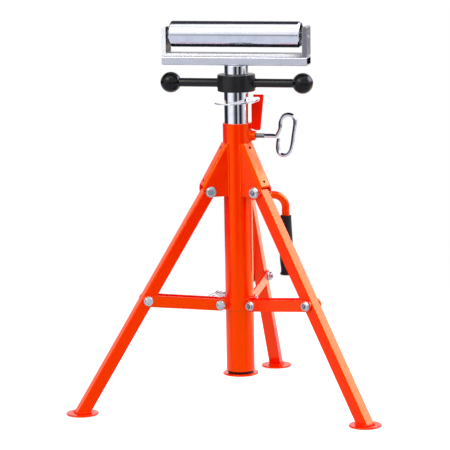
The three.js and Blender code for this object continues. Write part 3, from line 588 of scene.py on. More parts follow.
def bend_bracket(name):
    outer = INNER_HALF + SHEET
    reach = 0.076
    section = [(-reach, -outer), (0, -outer), (0, outer), (-reach, outer), (-reach, INNER_HALF),
               (-SHEET, INNER_HALF), (-SHEET, -INNER_HALF), (-reach, -INNER_HALF)]
    radii = [0, 0.0055, 0.0055, 0, 0, 0.0025, 0.0025, 0]
    channel = extrude_outline(round_corners(section, radii, 6), -0.06, 0.13)
    lean = (Matrix.Translation(PIVOT) @ Matrix.Rotation(-WEB_TILT, 4, "Y")
            @ Matrix.Translation((WEB_DISTANCE, 0, 0)))
    bracket = piece_from(name, channel, orange_paint, lean)
    side = [(0, BRACKET_BOTTOM), (BRACKET_OUT, BRACKET_BOTTOM), (BRACKET_OUT, BRACKET_TOP), (0, BRACKET_TOP)]
    side_view = extrude_outline(round_corners(side, [0, 0.011, 0, 0], 10), -0.04, 0.04)
    drill(bracket, [piece_from("cutter", side_view, None, SIDEWAYS)], keep=True)
    cuts = [block((0.11, 2 * INNER_HALF, 0.0315), (WELD_RADIUS + 0.055, 0, LEG_NOTCH_TOP - 0.01575)),
            rod_along("Z", WELD_RADIUS, 0.30, 0.45, steps=128), pin_hole(M10_HOLE, Matrix.Translation(PIVOT))]
    vents = []
    for height in VENT_HEIGHTS:
        out = PIVOT.x + (WEB_DISTANCE - (height - PIVOT.z) * math.sin(WEB_TILT)) / math.cos(WEB_TILT)
        vents.append(Vector((out, 0, height)))
        cuts.append(rod_along("X", VENT_RADIUS, -VENT_DEPTH, 0.006, Matrix.Translation(vents[-1])
                              @ Matrix.Rotation(-WEB_TILT, 4, "Y"), 24))
    drill(bracket, cuts)
    soften_edges(bracket, 0.0005)
    outward = Vector((math.cos(WEB_TILT), 0, math.sin(WEB_TILT)))

    def depth(face):
        return WEB_DISTANCE - (face.center - PIVOT).dot(outward)

    # the outer sheet is coated thinner and duller
    refinish(bracket, powder_coat("sheet_paint", (0.34, 0.44), tint=(1.0, 1.0, 0.2, 1)),
             lambda face: face.normal.dot(outward) > 0.99 and abs(depth(face)) < 0.0005)
    refinish(bracket, hole_shade, lambda face: depth(face) > 0.0001
             and min((face.center - vent).length for vent in vents) < VENT_RADIUS + 0.001)
    return bracket


def turned_copy(piece, name, angle):
    made = set_up(name, piece.data.copy())
    made.data.transform(Matrix.Rotation(angle, 4, "Z"))
    return even_shading(made)


pattern = bend_bracket("bracket_pattern")
for number, angle in enumerate(LEG_DIRECTIONS, 1):
    bracket = turned_copy(pattern, f"bracket_{number}", angle)
    fit(bracket, "column", f"leg_bracket_{number}")
discard(pattern)


# Legs: 22 mm square steel tube with rolled corners, drilled for the pivot and the brace, sawn
# level at the bottom and welded all round to a round foot plate.

LEG_TILT = math.radians(32)
LEG_WIDTH = 0.022
LEG_WALL = 0.0018
LEG_CORNER = 0.0026
LEG_END = -0.0477
BRACE_POINT = 0.2247
PLATE_RADIUS = 0.0288
PLATE_TOP = -0.048
FOOT_SEAM = -0.0472
FOOT_CENTRE = PIVOT_OUT + (PIVOT_HEIGHT - PLATE_TOP) * math.tan(LEG_TILT)
BEAD_SPACING = 0.0011


def square_section(width, corner, steps=5):
    half = width / 2
    return round_corners([(-half, -half), (half, -half), (half, half), (-half, half)], corner, steps)


leg_paint = powder_coat("leg_paint", (0.17, 0.25), (0.97, 0.007, 0.0), (1.0, 0.47, 0.01, 1))


def cut_leg(name):
    lean = Matrix.Translation(PIVOT) @ Matrix.Rotation(-LEG_TILT, 4, "Y")
    tube = extrude_outline(square_section(LEG_WIDTH, LEG_CORNER), -0.50, 0.009)
    leg = piece_from(name, tube, leg_paint, lean)
    inside = extrude_outline(square_section(LEG_WIDTH - 2 * LEG_WALL, 0.0008), -0.6, 0.1)
    drill(leg, [piece_from("cutter", inside, None, lean), block((1.2, 0.1, 0.3), (0, 0, LEG_END - 0.15)),
                pin_hole(M10_HOLE, Matrix.Translation(PIVOT)),
                pin_hole(M8_HOLE, lean @ Matrix.Translation((0, 0, -BRACE_POINT)))])
    return soften_edges(leg, 0.0003, angle=50)


leg_pattern = cut_leg("leg_pattern")
plate_outline = round_corners(
    [(0, FLOOR_LEVEL), (PLATE_RADIUS, FLOOR_LEVEL), (PLATE_RADIUS, PLATE_TOP), (0, PLATE_TOP)],
    [0, 0.0011, 0.0013, 0], 5)
plate_pattern = turn_piece("plate_pattern", plate_outline, 96, leg_paint,
                           Matrix.Translation((FOOT_CENTRE, 0, 0)))
for number, angle in enumerate(LEG_DIRECTIONS, 1):
    leg = turned_copy(leg_pattern, f"leg_{number}_tube", angle)
    plate = turned_copy(plate_pattern, f"leg_{number}_foot_plate", angle)
    fit(leg, f"leg_{number}", f"leg_tube_{number}")
    fit(plate, f"leg_{number}", f"leg_foot_{number}")
discard(leg_pattern, plate_pattern)


# Weld bead: overlapping ripples laid along a seam, each one squeezed and turned to the seam
def bead_tree():
    tree, given, wanted = node_group(
        "weld_bead", "GeometryNodeTree",
        [("Seam", "Geometry"), ("Bead width", "Float"), ("Ripple spacing", "Float"),
         ("Ripple length", "Float"), ("Seed", "Int"), ("Paint", "Material")],
        [("Bead", "Geometry")])
    seam = node(tree, "GeometryNodeMeshToCurve", in_Mesh=given["Seam"]).outputs[0]
    dots = node(tree, "GeometryNodeResampleCurve", mode="LENGTH", in_Curve=seam,
                in_Length=given["Ripple spacing"]).outputs[0]
    along = node(tree, "GeometryNodeInputTangent").outputs[0]
    turn = node(tree, "FunctionNodeAlignRotationToVector", axis="X", in_Vector=along).outputs[0]
    uneven = node(tree, "FunctionNodeRandomValue", data_type="FLOAT", in_2=0.86, in_3=1.12,
                  in_Seed=given["Seed"]).outputs[1]
    wide = maths(tree, "MULTIPLY", given["Bead width"], uneven)
    size = node(tree, "ShaderNodeCombineXYZ", in_X=given["Ripple length"], in_Y=wide, in_Z=wide).outputs[0]
    ripple = node(tree, "GeometryNodeMeshIcoSphere", in_Radius=1.0, in_Subdivisions=3).outputs[0]
    laid = node(tree, "GeometryNodeInstanceOnPoints", in_Points=dots, in_Instance=ripple, in_Rotation=turn,
                in_Scale=size).outputs[0]
    solid = node(tree, "GeometryNodeRealizeInstances", in_Geometry=laid).outputs[0]
    smooth = node(tree, "GeometryNodeSetShadeSmooth", in_Geometry=solid).outputs[0]
    painted = node(tree, "GeometryNodeSetMaterial", in_Geometry=smooth, in_Material=given["Paint"])
    link(tree, painted.outputs[0], wanted["Bead"])
    return tree


def grow(piece, tree, **values):
    growth = piece.modifiers.new("growth", "NODES")
    growth.node_group = tree
    for socket in tree.interface.items_tree:
        key = socket.name.replace(" ", "_")
        if socket.in_out == "INPUT" and key in values:
            growth[socket.identifier] = values[key]
    return settle(piece)


weld_bead = bead_tree()


# Each seam is its points and whether they close to a ring
def lay_bead(name, seams, width, material, seed):
    body = bmesh.new()
    for seam, ring in seams:
        dots = [body.verts.new(point) for point in seam]
        for pair in list(zip(dots, dots[1:])) + ([(dots[-1], dots[0])] if ring else []):
            body.edges.new(pair)
    return grow(set_up(name, mesh_of(name, body)), weld_bead, Bead_width=width, Ripple_spacing=BEAD_SPACING,
                Ripple_length=1.35 * BEAD_SPACING, Seed=seed, Paint=material)


# The square leg meets the level plate along a stretched outline
def leg_foot_seam():
    points = []
    for x, y in square_section(LEG_WIDTH + 0.0006, 0.0029, 3):
        z = (FOOT_SEAM - PIVOT.z + x * math.sin(-LEG_TILT)) / math.cos(LEG_TILT)
        across = PIVOT.x + x * math.cos(LEG_TILT) - z * math.sin(LEG_TILT)
        points.append((across, y, FOOT_SEAM))
    return points


sheet_half = INNER_HALF + SHEET
seam_out = math.sqrt(WELD_RADIUS ** 2 - sheet_half ** 2) + 0.0002
side_seams = [([(seam_out, side * (sheet_half + 0.0001), z) for z in (0.331, 0.36, 0.39, 0.4225)], False)
              for side in (-1, 1)]
for seams, width, material, first_seed, body, title in (
        ([(leg_foot_seam(), True)], 0.0018, leg_paint, 0, "leg_{0}", "leg_{0}_foot_weld"),
        (side_seams, 0.0016, orange_paint, 10, "column", "bracket_{0}_weld")):
    for number, angle in enumerate(LEG_DIRECTIONS, 1):
        bead_pattern = lay_bead("bead_pattern", seams, width, material, first_seed + number)
        fit(turned_copy(bead_pattern, title.format(number), angle), body.format(number))
        discard(bead_pattern)


# Carry handle: a 14 mm steel rod, bent down and welded to the column, with a black dipped PVC
# sleeve that has a soft rim at each end.

HANDLE_DIRECTION = math.radians(30)
HANDLE_HEIGHT = 0.3247
HANDLE_REACH = 0.0894
HANDLE_BEND = 0.0245
HANDLE_RADIUS = 0.007
GRIP_BOTTOM = 0.1766
GRIP_TOP = 0.286
GRIP_BARREL = [(0.0099, 0.1838), (0.0098, 0.1880), (0.0113, 0.2000), (0.0120, 0.2150), (0.01205, 0.2290),
               (0.0120, 0.2430), (0.0107, 0.2670), (0.0100, 0.2812)]
WELD_GAP = 0.0004


def sweep_round(name, path, radius, material, steps, ring=False, place=None):
    body = bmesh.new()
    path = [Vector(p) for p in path]
    count = len(path)
    radii = radius if isinstance(radius, list) else [radius] * count
    side = None
    rings = []
    for i, point in enumerate(path):
        if ring:
            ahead = (path[(i + 1) % count] - path[i - 1]).normalized()
        else:
            ahead = (path[min(i + 1, count - 1)] - path[max(i - 1, 0)]).normalized()
        if side is None:
            side = ahead.orthogonal().normalized()
        side = (side - ahead * side.dot(ahead)).normalized()
        up = ahead.cross(side)
        rings.append([body.verts.new(point + radii[i] * (x * side + y * up)) for x, y in circle(1, steps)])
    join_rings(body, rings, ring)
    if not ring:
        body.faces.new(rings[0][::-1])
        body.faces.new(rings[-1])
    return piece_from(name, body, material, place)


def smooth_path(points, steps=8):
    points = [Vector(p) for p in points]
    points = [2 * points[0] - points[1]] + points + [2 * points[-1] - points[-2]]
    path = []
    for i in range(1, len(points) - 2):
        p0, p1, p2, p3 = points[i - 1:i + 3]
        t0 = 0
        t1 = t0 + math.sqrt((p1 - p0).length)
        t2 = t1 + math.sqrt((p2 - p1).length)
        t3 = t2 + math.sqrt((p3 - p2).length)
        for k in range(steps):
            t = t1 + (t2 - t1) * k / steps
            a1 = (t1 - t) / (t1 - t0) * p0 + (t - t0) / (t1 - t0) * p1
            a2 = (t2 - t) / (t2 - t1) * p1 + (t - t1) / (t2 - t1) * p2
            a3 = (t3 - t) / (t3 - t2) * p2 + (t - t2) / (t3 - t2) * p3
            b1 = (t2 - t) / (t2 - t0) * a1 + (t - t0) / (t2 - t0) * a2
            b2 = (t3 - t) / (t3 - t1) * a2 + (t - t1) / (t3 - t1) * a3
            path.append((t2 - t) / (t2 - t1) * b1 + (t - t1) / (t2 - t1) * b2)
    return path + [points[-2]]


def handle_path():
    points = [(0.0228, 0, HANDLE_HEIGHT), (0.045, 0, HANDLE_HEIGHT)]
    for k in range(25):
        angle = math.pi / 2 * (1 - k / 24)
        points.append((HANDLE_REACH - HANDLE_BEND + HANDLE_BEND * math.cos(angle), 0,
                       HANDLE_HEIGHT - HANDLE_BEND + HANDLE_BEND * math.sin(angle)))
    return points + [(HANDLE_REACH, 0, 0.25), (HANDLE_REACH, 0, 0.1801)]


towards_handle = Matrix.Rotation(HANDLE_DIRECTION, 4, "Z")
handle_bar = sweep_round("handle_bar", handle_path(), HANDLE_RADIUS, orange_paint, 48, place=towards_handle)
drill(handle_bar, [rod_along("Z", COLUMN_RADIUS, 0.29, 0.36, steps=128)])
fit(handle_bar, "column", "carry_handle_bar")


# The ring where a round end of one radius meets a round wall of another, towards X
def ring_seam(radius, wall, gap, height, steps=48):
    return [Vector((math.sqrt(wall ** 2 - across ** 2) + gap, across, height + up))
            for across, up in circle(radius, steps)]


root_seam = [towards_handle @ point
             for point in ring_seam(HANDLE_RADIUS + WELD_GAP, COLUMN_RADIUS, 0.0005, HANDLE_HEIGHT)]
handle_weld = lay_bead("handle_root_weld", [(root_seam, True)], 0.0019, orange_paint, 21)
fit(handle_weld, "column")

black_grip = coated("black_grip", (0.006, 0.006, 0.007), (0.003, 0.003, 0.004), (30.0, 0.5), (0.40, 0.58),
                    (900.0, 0.5), (0.5, 0.0002), 0.28, ior=1.48, grain_size=4200.0)

grip_outline = round_corners([(0, GRIP_BOTTOM), (0.0115, GRIP_BOTTOM), (0.0115, GRIP_BOTTOM + 0.0044)],
                             [0, 0.0022, 0.0012], 6)
grip_outline += [(point.x, point.z) for point in smooth_path([(out, 0, up) for out, up in GRIP_BARREL], 6)]
grip_outline += round_corners([(0.0102, 0.2820), (0.0102, GRIP_TOP), (0.00715, GRIP_TOP),
                               (0.00715, GRIP_BOTTOM + 0.0032), (0, GRIP_BOTTOM + 0.0032)],
                              [0, 0.0014, 0.0006, 0.0006, 0], 6)
grip = turn_piece("handle_grip", grip_outline, 72, black_grip,
                  towards_handle @ Matrix.Translation((HANDLE_REACH, 0, 0)))
fit(grip, "column", "carry_handle_grip")


# Hook plate and clamp boss: a flame cut 4 mm steel hook that takes one rim of the plate ring,
# and a threaded boss for the clamp screw, both welded to the top of the column.

HOOK_OUTLINE = [(0.0345, 0.4463), (0.0428, 0.4463), (0.0495, 0.5090), (0.0483, 0.5102), (0.0309, 0.5102),
                (0.0309, 0.5060), (0.0418, 0.5060), (0.0430, 0.5026), (0.0410, 0.4990), (0.0272, 0.4934),
                (0.0272, 0.4596), (0.0257, 0.4596), (0.0257, 0.4495)]
HOOK_CORNERS = [0.0012, 0.003, 0.001, 0.001, 0.0008, 0.0004, 0.0006, 0.0006, 0.0006, 0.0006, 0.0003, 0, 0]
BOSS_RADIUS = 0.0089
thick_paint = coated("thick_paint", (0.95, 0.003, 0.0), (0.80, 0.002, 0.0), (30.0, 0.5), (0.36, 0.5),
                     (520.0, 0.35), (0.2, 0.0002), 0.22, (1.0, 0.5, 0.1, 1))

hook = piece_from("hook", extrude_outline(round_corners(HOOK_OUTLINE, HOOK_CORNERS, 5), -0.002, 0.002),
                  thick_paint, SIDEWAYS)
soften_edges(hook, 0.0004)
fit(hook, "column", "hook_plate")

along_x = Matrix.Translation((0, 0, CLAMP_HEIGHT)) @ LAID
boss = turn_piece("clamp_boss_ring", tube_outline(BOSS_RADIUS, M8_HOLE, 0.0228, 0.0342, 0.0014), 64,
                  orange_paint, along_x)
drill(boss, [rod_along("Z", COLUMN_RADIUS, 0.40, 0.47, steps=128)])
fit(boss, "column", "clamp_boss")

boss_seam = ring_seam(BOSS_RADIUS + WELD_GAP, COLUMN_RADIUS, 0.0005, CLAMP_HEIGHT)
hook_seams = [([(0.0263, 0.0022 * side, z) for z in (0.4500, 0.4545, 0.4590)], False) for side in (-1, 1)]
top_weld = lay_bead("hook_and_boss_weld", [(boss_seam, True)] + hook_seams, 0.0017, orange_paint, 22)
fit(top_weld, "column")


# Sliding collar: a short sleeve turned from heavy tube, with a pair of pressed steel ears
# welded on towards each leg and a seam beside them for the lock plunger's housing.

COLLAR_BORE = 0.0259
COLLAR_RADIUS = 0.0290
COLLAR_PIVOT = Vector((0.0406, 0, 0.132004))
COLLAR_BOTTOM = 0.122004
COLLAR_TOP = 0.144004
EAR_RADIUS = 0.009
EAR_HALF = 0.0015
EAR_OFFSET = 0.0095
HOUSING_SEAM = 0.0062
HOUSING_SEAM_TOP = 0.0028

sleeve = turn_piece("collar_sleeve", tube_outline(
    COLLAR_RADIUS, COLLAR_BORE, COLLAR_BOTTOM, COLLAR_TOP, SAWN_EDGE), 128, orange_paint)
towards_lock = Matrix.Translation((0, 0, LOCK_HEIGHTS[0])) @ Matrix.Rotation(LOCK_DIRECTION, 4, "Z")
drill(sleeve, [rod_along("X", M8_HOLE, 0, 0.06, towards_lock)])


# Half a circle, from a turn counted in half turns
def half_circle(x, z, radius, start, steps):
    return [(x + radius * math.cos(t), z + radius * math.sin(t))
            for t in (math.pi * (k / steps + start) for k in range(steps + 1))]


def ear_outline():
    x, z = COLLAR_PIVOT.x, COLLAR_PIVOT.z
    return [(0.0275, z - 0.010)] + half_circle(x, z, EAR_RADIUS, -0.5, 24) + [(0.0275, z + 0.010)]


ears = []
for side in (-1, 1):
    ear = piece_from("ear", extrude_outline(ear_outline(), -EAR_HALF, EAR_HALF), orange_paint,
                     Matrix.Translation((0, side * EAR_OFFSET, 0)) @ SIDEWAYS)
    drill(ear, [pin_hole(M8_HOLE, Matrix.Translation(COLLAR_PIVOT)),
                rod_along("Z", COLLAR_RADIUS - 0.0004, 0.1, 0.16, steps=128)])
    ears.append(soften_edges(ear, 0.0004))


def join_pieces(name, pieces):
    body = bmesh.new()
    for piece in pieces:
        body.from_mesh(piece.data)
    made = set_up(name, mesh_of(name, body))
    made.data.materials.append(pieces[0].data.materials[0])
    discard(*pieces)
    return even_shading(made)


collar_parts = [sleeve]
for angle in LEG_DIRECTIONS:
    collar_parts += [turned_copy(ear, "ear_turned", angle) for ear in ears]
discard(*ears)
collar = join_pieces("collar_with_ears", collar_parts)
fit(collar, "collar", "collar")

ear_seams = []
for side in (-1, 1):
    across = side * 0.0112
    out = math.sqrt(COLLAR_RADIUS ** 2 - across ** 2) + 0.0003
    ear_seams.append(([(out, across, COLLAR_PIVOT.z + z) for z in (-0.0092, 0, 0.0092)], False))
seams = []
for angle in LEG_DIRECTIONS:
    turn = Matrix.Rotation(angle, 4, "Z")
    seams += [([turn @ Vector(p) for p in seam], ring) for seam, ring in ear_seams]
housing_ring = ring_seam(HOUSING_SEAM, COLLAR_RADIUS, 0.0004, 0, 40)
housing_seam = sorted((towards_lock @ p for p in housing_ring if p.z < HOUSING_SEAM_TOP), key=lambda p: p.z)
left = [p for p in housing_seam if (towards_lock.inverted() @ p).y < 0]
right = [p for p in housing_seam if (towards_lock.inverted() @ p).y >= 0]
seams += [(left, False), (right, False)]
collar_weld = lay_bead("collar_weld", seams, 0.0015, orange_paint, 23)
fit(collar_weld, "collar")


# Braces: each one a pair of 21 mm flat bars with sheared round ends, one on each side of the
# leg, bolted to the collar's ears and to the leg.

BRACE_LENGTH = 0.134482
BRACE_TILT = math.radians(7.02326)
BAR_HALF = 0.0105
BAR_HALF_THICK = 0.0015

bar_outline = (half_circle(BRACE_LENGTH, 0, BAR_HALF, -0.5, 28) + half_circle(0, 0, BAR_HALF, 0.5, 28))
swung = Matrix.Translation(COLLAR_PIVOT) @ Matrix.Rotation(-BRACE_TILT, 4, "Y")
brace_end = swung @ Matrix.Translation((BRACE_LENGTH, 0, 0))
for side, letter in ((1, "a"), (-1, "b")):
    bar = piece_from("bar", extrude_outline(bar_outline, -BAR_HALF_THICK, BAR_HALF_THICK), orange_paint,
                     swung @ Matrix.Translation((0, side * (INNER_HALF + BAR_HALF_THICK), 0)) @ SIDEWAYS)
    drill(bar, [pin_hole(M8_HOLE, swung), pin_hole(M8_HOLE, brace_end)])
    soften_edges(bar, 0.00055, steps=3)
    for number, angle in enumerate(LEG_DIRECTIONS, 1):
        made = turned_copy(bar, f"brace_{number}_flat_{letter}", angle)
        fit(made, f"brace_{number}", f"brace_{number}_bar_{letter}")
    discard(bar)


# Bolts: bright zinc plated steel, with flanged hexagon heads on one side and flanged nuts on
# the other, M10 at the leg pivots and M8 at both ends of each brace.

PIVOT_BOLT = {"shank": 0.005, "flange": 0.0096, "flange_height": 0.0016, "flats": 0.016, "head": 0.004,
              "nut": 0.0054, "tail": 0.0022, "pitch": 0.0015}
BRACE_BOLT = {"shank": 0.004, "flange": 0.0085, "flange_height": 0.0015, "flats": 0.013, "head": 0.0036,
              "nut": 0.0046, "tail": 0.002, "pitch": 0.00125}
OUTER_HALF = 0.0151
STUB_START = 0.0121
SHANK_REACH = OUTER_HALF + 0.001
HEXAGON_STEPS = 72
SHADED_END_PAST = -0.0185
SHADED_END_RADIUS = 0.0047
WEDGE_TURN = -math.pi / 2

metal_marks, given, wanted = node_group(
    "metal_marks", "ShaderNodeTree",
    [("Stretch", "Vector", (1, 1, 1)), ("Line size", "Float", 900.0), ("Colour", "Color", WHITE),
     ("Dull colour", "Color", (0.5, 0.5, 0.5, 1)), ("Blotch size", "Float", 120.0),
     ("Gloss low", "Float", 0.1), ("Gloss high", "Float", 0.2)],
    [("Colour", "Color"), ("Roughness", "Float"), ("Height", "Float")])
place = object_place(metal_marks)
drawn = node(metal_marks, "ShaderNodeVectorMath", operation="MULTIPLY", in_0=place,
             in_1=given["Stretch"]).outputs[0]
drawn_lines = noise(metal_marks, drawn, given["Line size"], in_Detail=3.0)
blotches = noise(metal_marks, place, given["Blotch size"], in_Detail=4.0, in_Distortion=0.6)
worn = spread(metal_marks, blotches, 0.42, 0.68)
link(metal_marks, blend(metal_marks, worn, given["Colour"], given["Dull colour"]), wanted["Colour"])
uneven = blend(metal_marks, 0.5, drawn_lines, blotches, "FLOAT")
link(metal_marks, spread(metal_marks, uneven, 0.35, 0.65, in_3=given["Gloss low"],
                         in_4=given["Gloss high"]), wanted["Roughness"])
link(metal_marks, drawn_lines, wanted["Height"])


# Bare or plated metal: gloss is a low and a high roughness, bump is a strength and a depth, and
# toned changes the colour further
def metal(name, metallic, colour, dull_colour, blotch_size, gloss, bump, stretch=(1, 1, 1),
          line_size=900.0, toned=None):
    made, tree, shader = start_material(name, metallic)
    marks = group_in(tree, metal_marks, Colour=(*colour, 1), Dull_colour=(*dull_colour, 1), Stretch=stretch,
                     Line_size=line_size, Blotch_size=blotch_size, Gloss_low=gloss[0], Gloss_high=gloss[1])
    tone = toned(tree, marks["Colour"]) if toned else marks["Colour"]
    finish_surface(tree, shader, tone, marks["Roughness"], marks["Height"], bump)
    return made


zinc = metal("zinc_plate", 0.8, (0.66, 0.70, 0.73), (0.48, 0.52, 0.55), 260.0, (0.14, 0.28), (0.12, 0.0001))


# Rolled thread: a wedge-shaped rib wound round a core, along Z from the origin
def thread_tree():
    tree, given, wanted = node_group(
        "rolled_thread", "GeometryNodeTree",
        [("Blank", "Geometry"), ("Radius", "Float"), ("Pitch", "Float"), ("Length", "Float"),
         ("Depth", "Float"), ("Turn steps", "Int"), ("Metal", "Material")],
        [("Thread", "Geometry")])
    radius, pitch, length, depth = (given[title] for title in ("Radius", "Pitch", "Length", "Depth"))
    middle = maths(tree, "SUBTRACT", radius, maths(tree, "MULTIPLY", depth, 0.55))
    core_radius = maths(tree, "SUBTRACT", radius, depth)
    wound = maths(tree, "SUBTRACT", length, pitch)
    helix = node(tree, "GeometryNodeCurveSpiral", in_Resolution=given["Turn steps"], in_Height=wound,
                 in_Rotations=maths(tree, "DIVIDE", wound, pitch), in_Start_Radius=middle,
                 in_End_Radius=middle).outputs[0]
    upright = node(tree, "GeometryNodeSetCurveNormal", mode="Z_UP", in_Curve=helix).outputs[0]
    wedge = node(tree, "GeometryNodeCurvePrimitiveQuadrilateral", mode="TRAPEZOID", in_Offset=0,
                 in_Bottom_Width=maths(tree, "MULTIPLY", pitch, 0.92),
                 in_Top_Width=maths(tree, "MULTIPLY", pitch, 0.18),
                 in_Height=maths(tree, "MULTIPLY", depth, 1.1)).outputs[0]
    turned_wedge = node(tree, "GeometryNodeTransform", in_Geometry=wedge,
                        in_Rotation=(0, 0, WEDGE_TURN)).outputs[0]
    rib = node(tree, "GeometryNodeCurveToMesh", in_Curve=upright, in_Profile_Curve=turned_wedge,
               in_Fill_Caps=True).outputs[0]
    core = node(tree, "GeometryNodeMeshCylinder", in_Vertices=given["Turn steps"], in_Radius=core_radius,
                in_Depth=length).outputs[0]
    both = node(tree, "GeometryNodeJoinGeometry")
    for shape, height in ((rib, pitch), (core, length)):
        lift = node(tree, "ShaderNodeCombineXYZ", in_Z=maths(tree, "MULTIPLY", height, 0.5)).outputs[0]
        raised = node(tree, "GeometryNodeTransform", in_Geometry=shape, in_Translation=lift).outputs[0]
        link(tree, raised, both.inputs[0])
    solid = node(tree, "GeometryNodeRealizeInstances", in_Geometry=both.outputs[0]).outputs[0]
    plated = node(tree, "GeometryNodeSetMaterial", in_Geometry=solid, in_Material=given["Metal"]).outputs[0]
    link(tree, plated, wanted["Thread"])
    return tree


rolled_thread = thread_tree()


def cut_thread(name, radius, pitch, length, material, steps=24, place=None):
    mesh = bpy.data.meshes.new(name)
    mesh.from_pydata([(0, 0, 0)], [], [])
    thread = set_up(name, mesh)
    grow(thread, rolled_thread, Radius=radius, Pitch=pitch, Length=length, Depth=0.6 * pitch,
         Turn_steps=steps, Metal=material)
    if place is not None:
        thread.data.transform(place)
    return thread


def hexagon_ring(flats, cap):
    points = []
    for k in range(HEXAGON_STEPS):
        angle = 2 * math.pi * k / HEXAGON_STEPS
        near = (angle % (math.pi / 3)) - math.pi / 6
        reach = min(flats / 2 / math.cos(near), cap)
        points.append((reach * math.cos(angle), reach * math.sin(angle)))
    return points


def stack_rings(rings):
    body = bmesh.new()
    loops = [[body.verts.new((x, y, z)) for x, y in ring] for ring, z in rings]
    join_rings(body, loops, False)
    body.faces.new(loops[0][::-1])
    body.faces.new(loops[-1])
    return body


def hexagon_block(flats, bottom, top, hollow):
    corner = flats / math.sqrt(3)
    drop = 0.075 * flats
    rings = [(hexagon_ring(flats, corner), bottom)]
    for k in range(7):
        share = k / 6
        ring = hexagon_ring(flats, corner - share * (corner - 0.47 * flats))
        rings.append((ring, top - drop * (1 - share)))
    round_ring = circle(hollow, HEXAGON_STEPS)
    rings.append((round_ring, top))
    rings.append(([(0.86 * x, 0.86 * y) for x, y in round_ring], top - 0.0004))
    return piece_from("hexagon", stack_rings(rings), zinc)


def flange_disc(bolt):
    radius, height = bolt["flange"], bolt["flange_height"]
    outline = round_corners([(0, 0), (radius, 0), (radius, 0.62 * height),
                             (0.62 * bolt["flats"], height), (0, height + 0.0003)],
                            [0, 0.0003, 0.0005, 0.0005, 0], 4)
    return turn_piece("flange", outline, 72, zinc)


def flanged_head(bolt, half):
    top = bolt["flange_height"] + bolt["head"]
    parts = [flange_disc(bolt), hexagon_block(bolt["flats"], 0.0008, top, 0.36 * bolt["flats"])]
    out = Matrix.Translation((0, half, 0)) @ Matrix.Rotation(-math.pi / 2, 4, "X")
    for part in parts:
        part.data.transform(out)
    return parts


def flanged_nut(bolt, half):
    top = bolt["flange_height"] + bolt["nut"]
    parts = [flange_disc(bolt), hexagon_block(bolt["flats"], 0.0008, top, bolt["shank"] + 0.0008)]
    tail = cut_thread("tail", bolt["shank"], bolt["pitch"], bolt["tail"] + 0.003, zinc)
    tail.data.transform(Matrix.Translation((0, 0, top - 0.0034)))
    end = bolt["shank"] - 0.0005
    tip_end = top + bolt["tail"]
    tip_outline = round_corners([(0, top), (end - 0.0002, top), (end - 0.0002, tip_end - 0.0007),
                                 (end - 0.0009, tip_end), (0, tip_end)], [0, 0, 0.0003, 0.0003, 0])
    tip = turn_piece("tip", tip_outline, 48, zinc)
    out = Matrix.Translation((0, -half, 0)) @ Matrix.Rotation(math.pi / 2, 4, "X")
    for part in parts + [tail, tip]:
        part.data.transform(out)
    return parts + [tail, tip]


def plain_shank(bolt, low, high):
    outline = round_corners([(0, low), (bolt["shank"], low), (bolt["shank"], high), (0, high)],
                            [0, 0.0002, 0.0002, 0])
    return turn_piece("shank", outline, 48, zinc, Matrix.Rotation(-math.pi / 2, 4, "X"))


# the bolt's end past its nut is painted dark grey, a painted shade on the nut's centre
bolt_end = even_material("bolt_end", (0.27, 0.30, 0.35), 0.34, metallic=1.0)


def finish_bolt(parts, name, place, body, cad_node):
    bolt = join_pieces(name, parts)
    refinish(bolt, bolt_end, lambda face: face.center.y < SHADED_END_PAST
             and math.hypot(face.center.x, face.center.z) < SHADED_END_RADIUS)
    bolt.data.transform(place)
    fit(bolt, body, cad_node)


for number, angle in enumerate(LEG_DIRECTIONS, 1):
    turn = Matrix.Rotation(angle, 4, "Z")
    spin = Matrix.Rotation(math.radians(17 * number), 4, "Y")
    pivot_place = turn @ Matrix.Translation(PIVOT) @ spin
    collar_place = turn @ Matrix.Translation(COLLAR_PIVOT) @ spin
    end_place = turn @ brace_end @ spin
    for bolt, name, place, body, cad in (
            (PIVOT_BOLT, f"pivot_bolt_{number}", pivot_place, "column", f"leg_pivot_bolt_{number}"),
            (BRACE_BOLT, f"collar_bolt_{number}_full", collar_place, "collar", f"collar_bolt_{number}")):
        shank = plain_shank(bolt, -SHANK_REACH, SHANK_REACH)
        finish_bolt([shank] + flanged_head(bolt, OUTER_HALF) + flanged_nut(bolt, OUTER_HALF), name, place,
                    body, cad)
    head_shank = plain_shank(BRACE_BOLT, STUB_START, SHANK_REACH)
    finish_bolt([head_shank] + flanged_head(BRACE_BOLT, OUTER_HALF), f"brace_bolt_{number}_head", end_place,
                f"brace_{number}", f"brace_{number}_bolt_head")
    nut_shank = plain_shank(BRACE_BOLT, -SHANK_REACH, -STUB_START)
    finish_bolt([nut_shank] + flanged_nut(BRACE_BOLT, OUTER_HALF), f"brace_bolt_{number}_nut", end_place,
                f"brace_{number}", f"brace_{number}_bolt_nut")


# Lock plunger: a plated steel pin in a short turned housing on the collar, with a round knob
# that ends in a flat eye for a spring steel pull ring.

HOUSING_RADIUS = 0.0059
HOUSING_END = 0.037
KNOB_RADIUS = 0.0059
KNOB_END = 0.051
TAB_END = 0.0585
EYE_DISTANCE = 0.0540
EYE_RISE = 0.0038
RING_RADIUS = 0.011
RING_SLOPE = math.radians(30)

housing = turn_piece("plunger_sleeve", tube_outline(HOUSING_RADIUS, M8_HOLE, 0.026, HOUSING_END, SAWN_EDGE),
                     64, zinc, towards_lock @ LAID)
drill(housing, [rod_along("Z", COLLAR_RADIUS - 0.0002, 0.12, 0.16, steps=128)])
fit(housing, "collar", "plunger_housing")

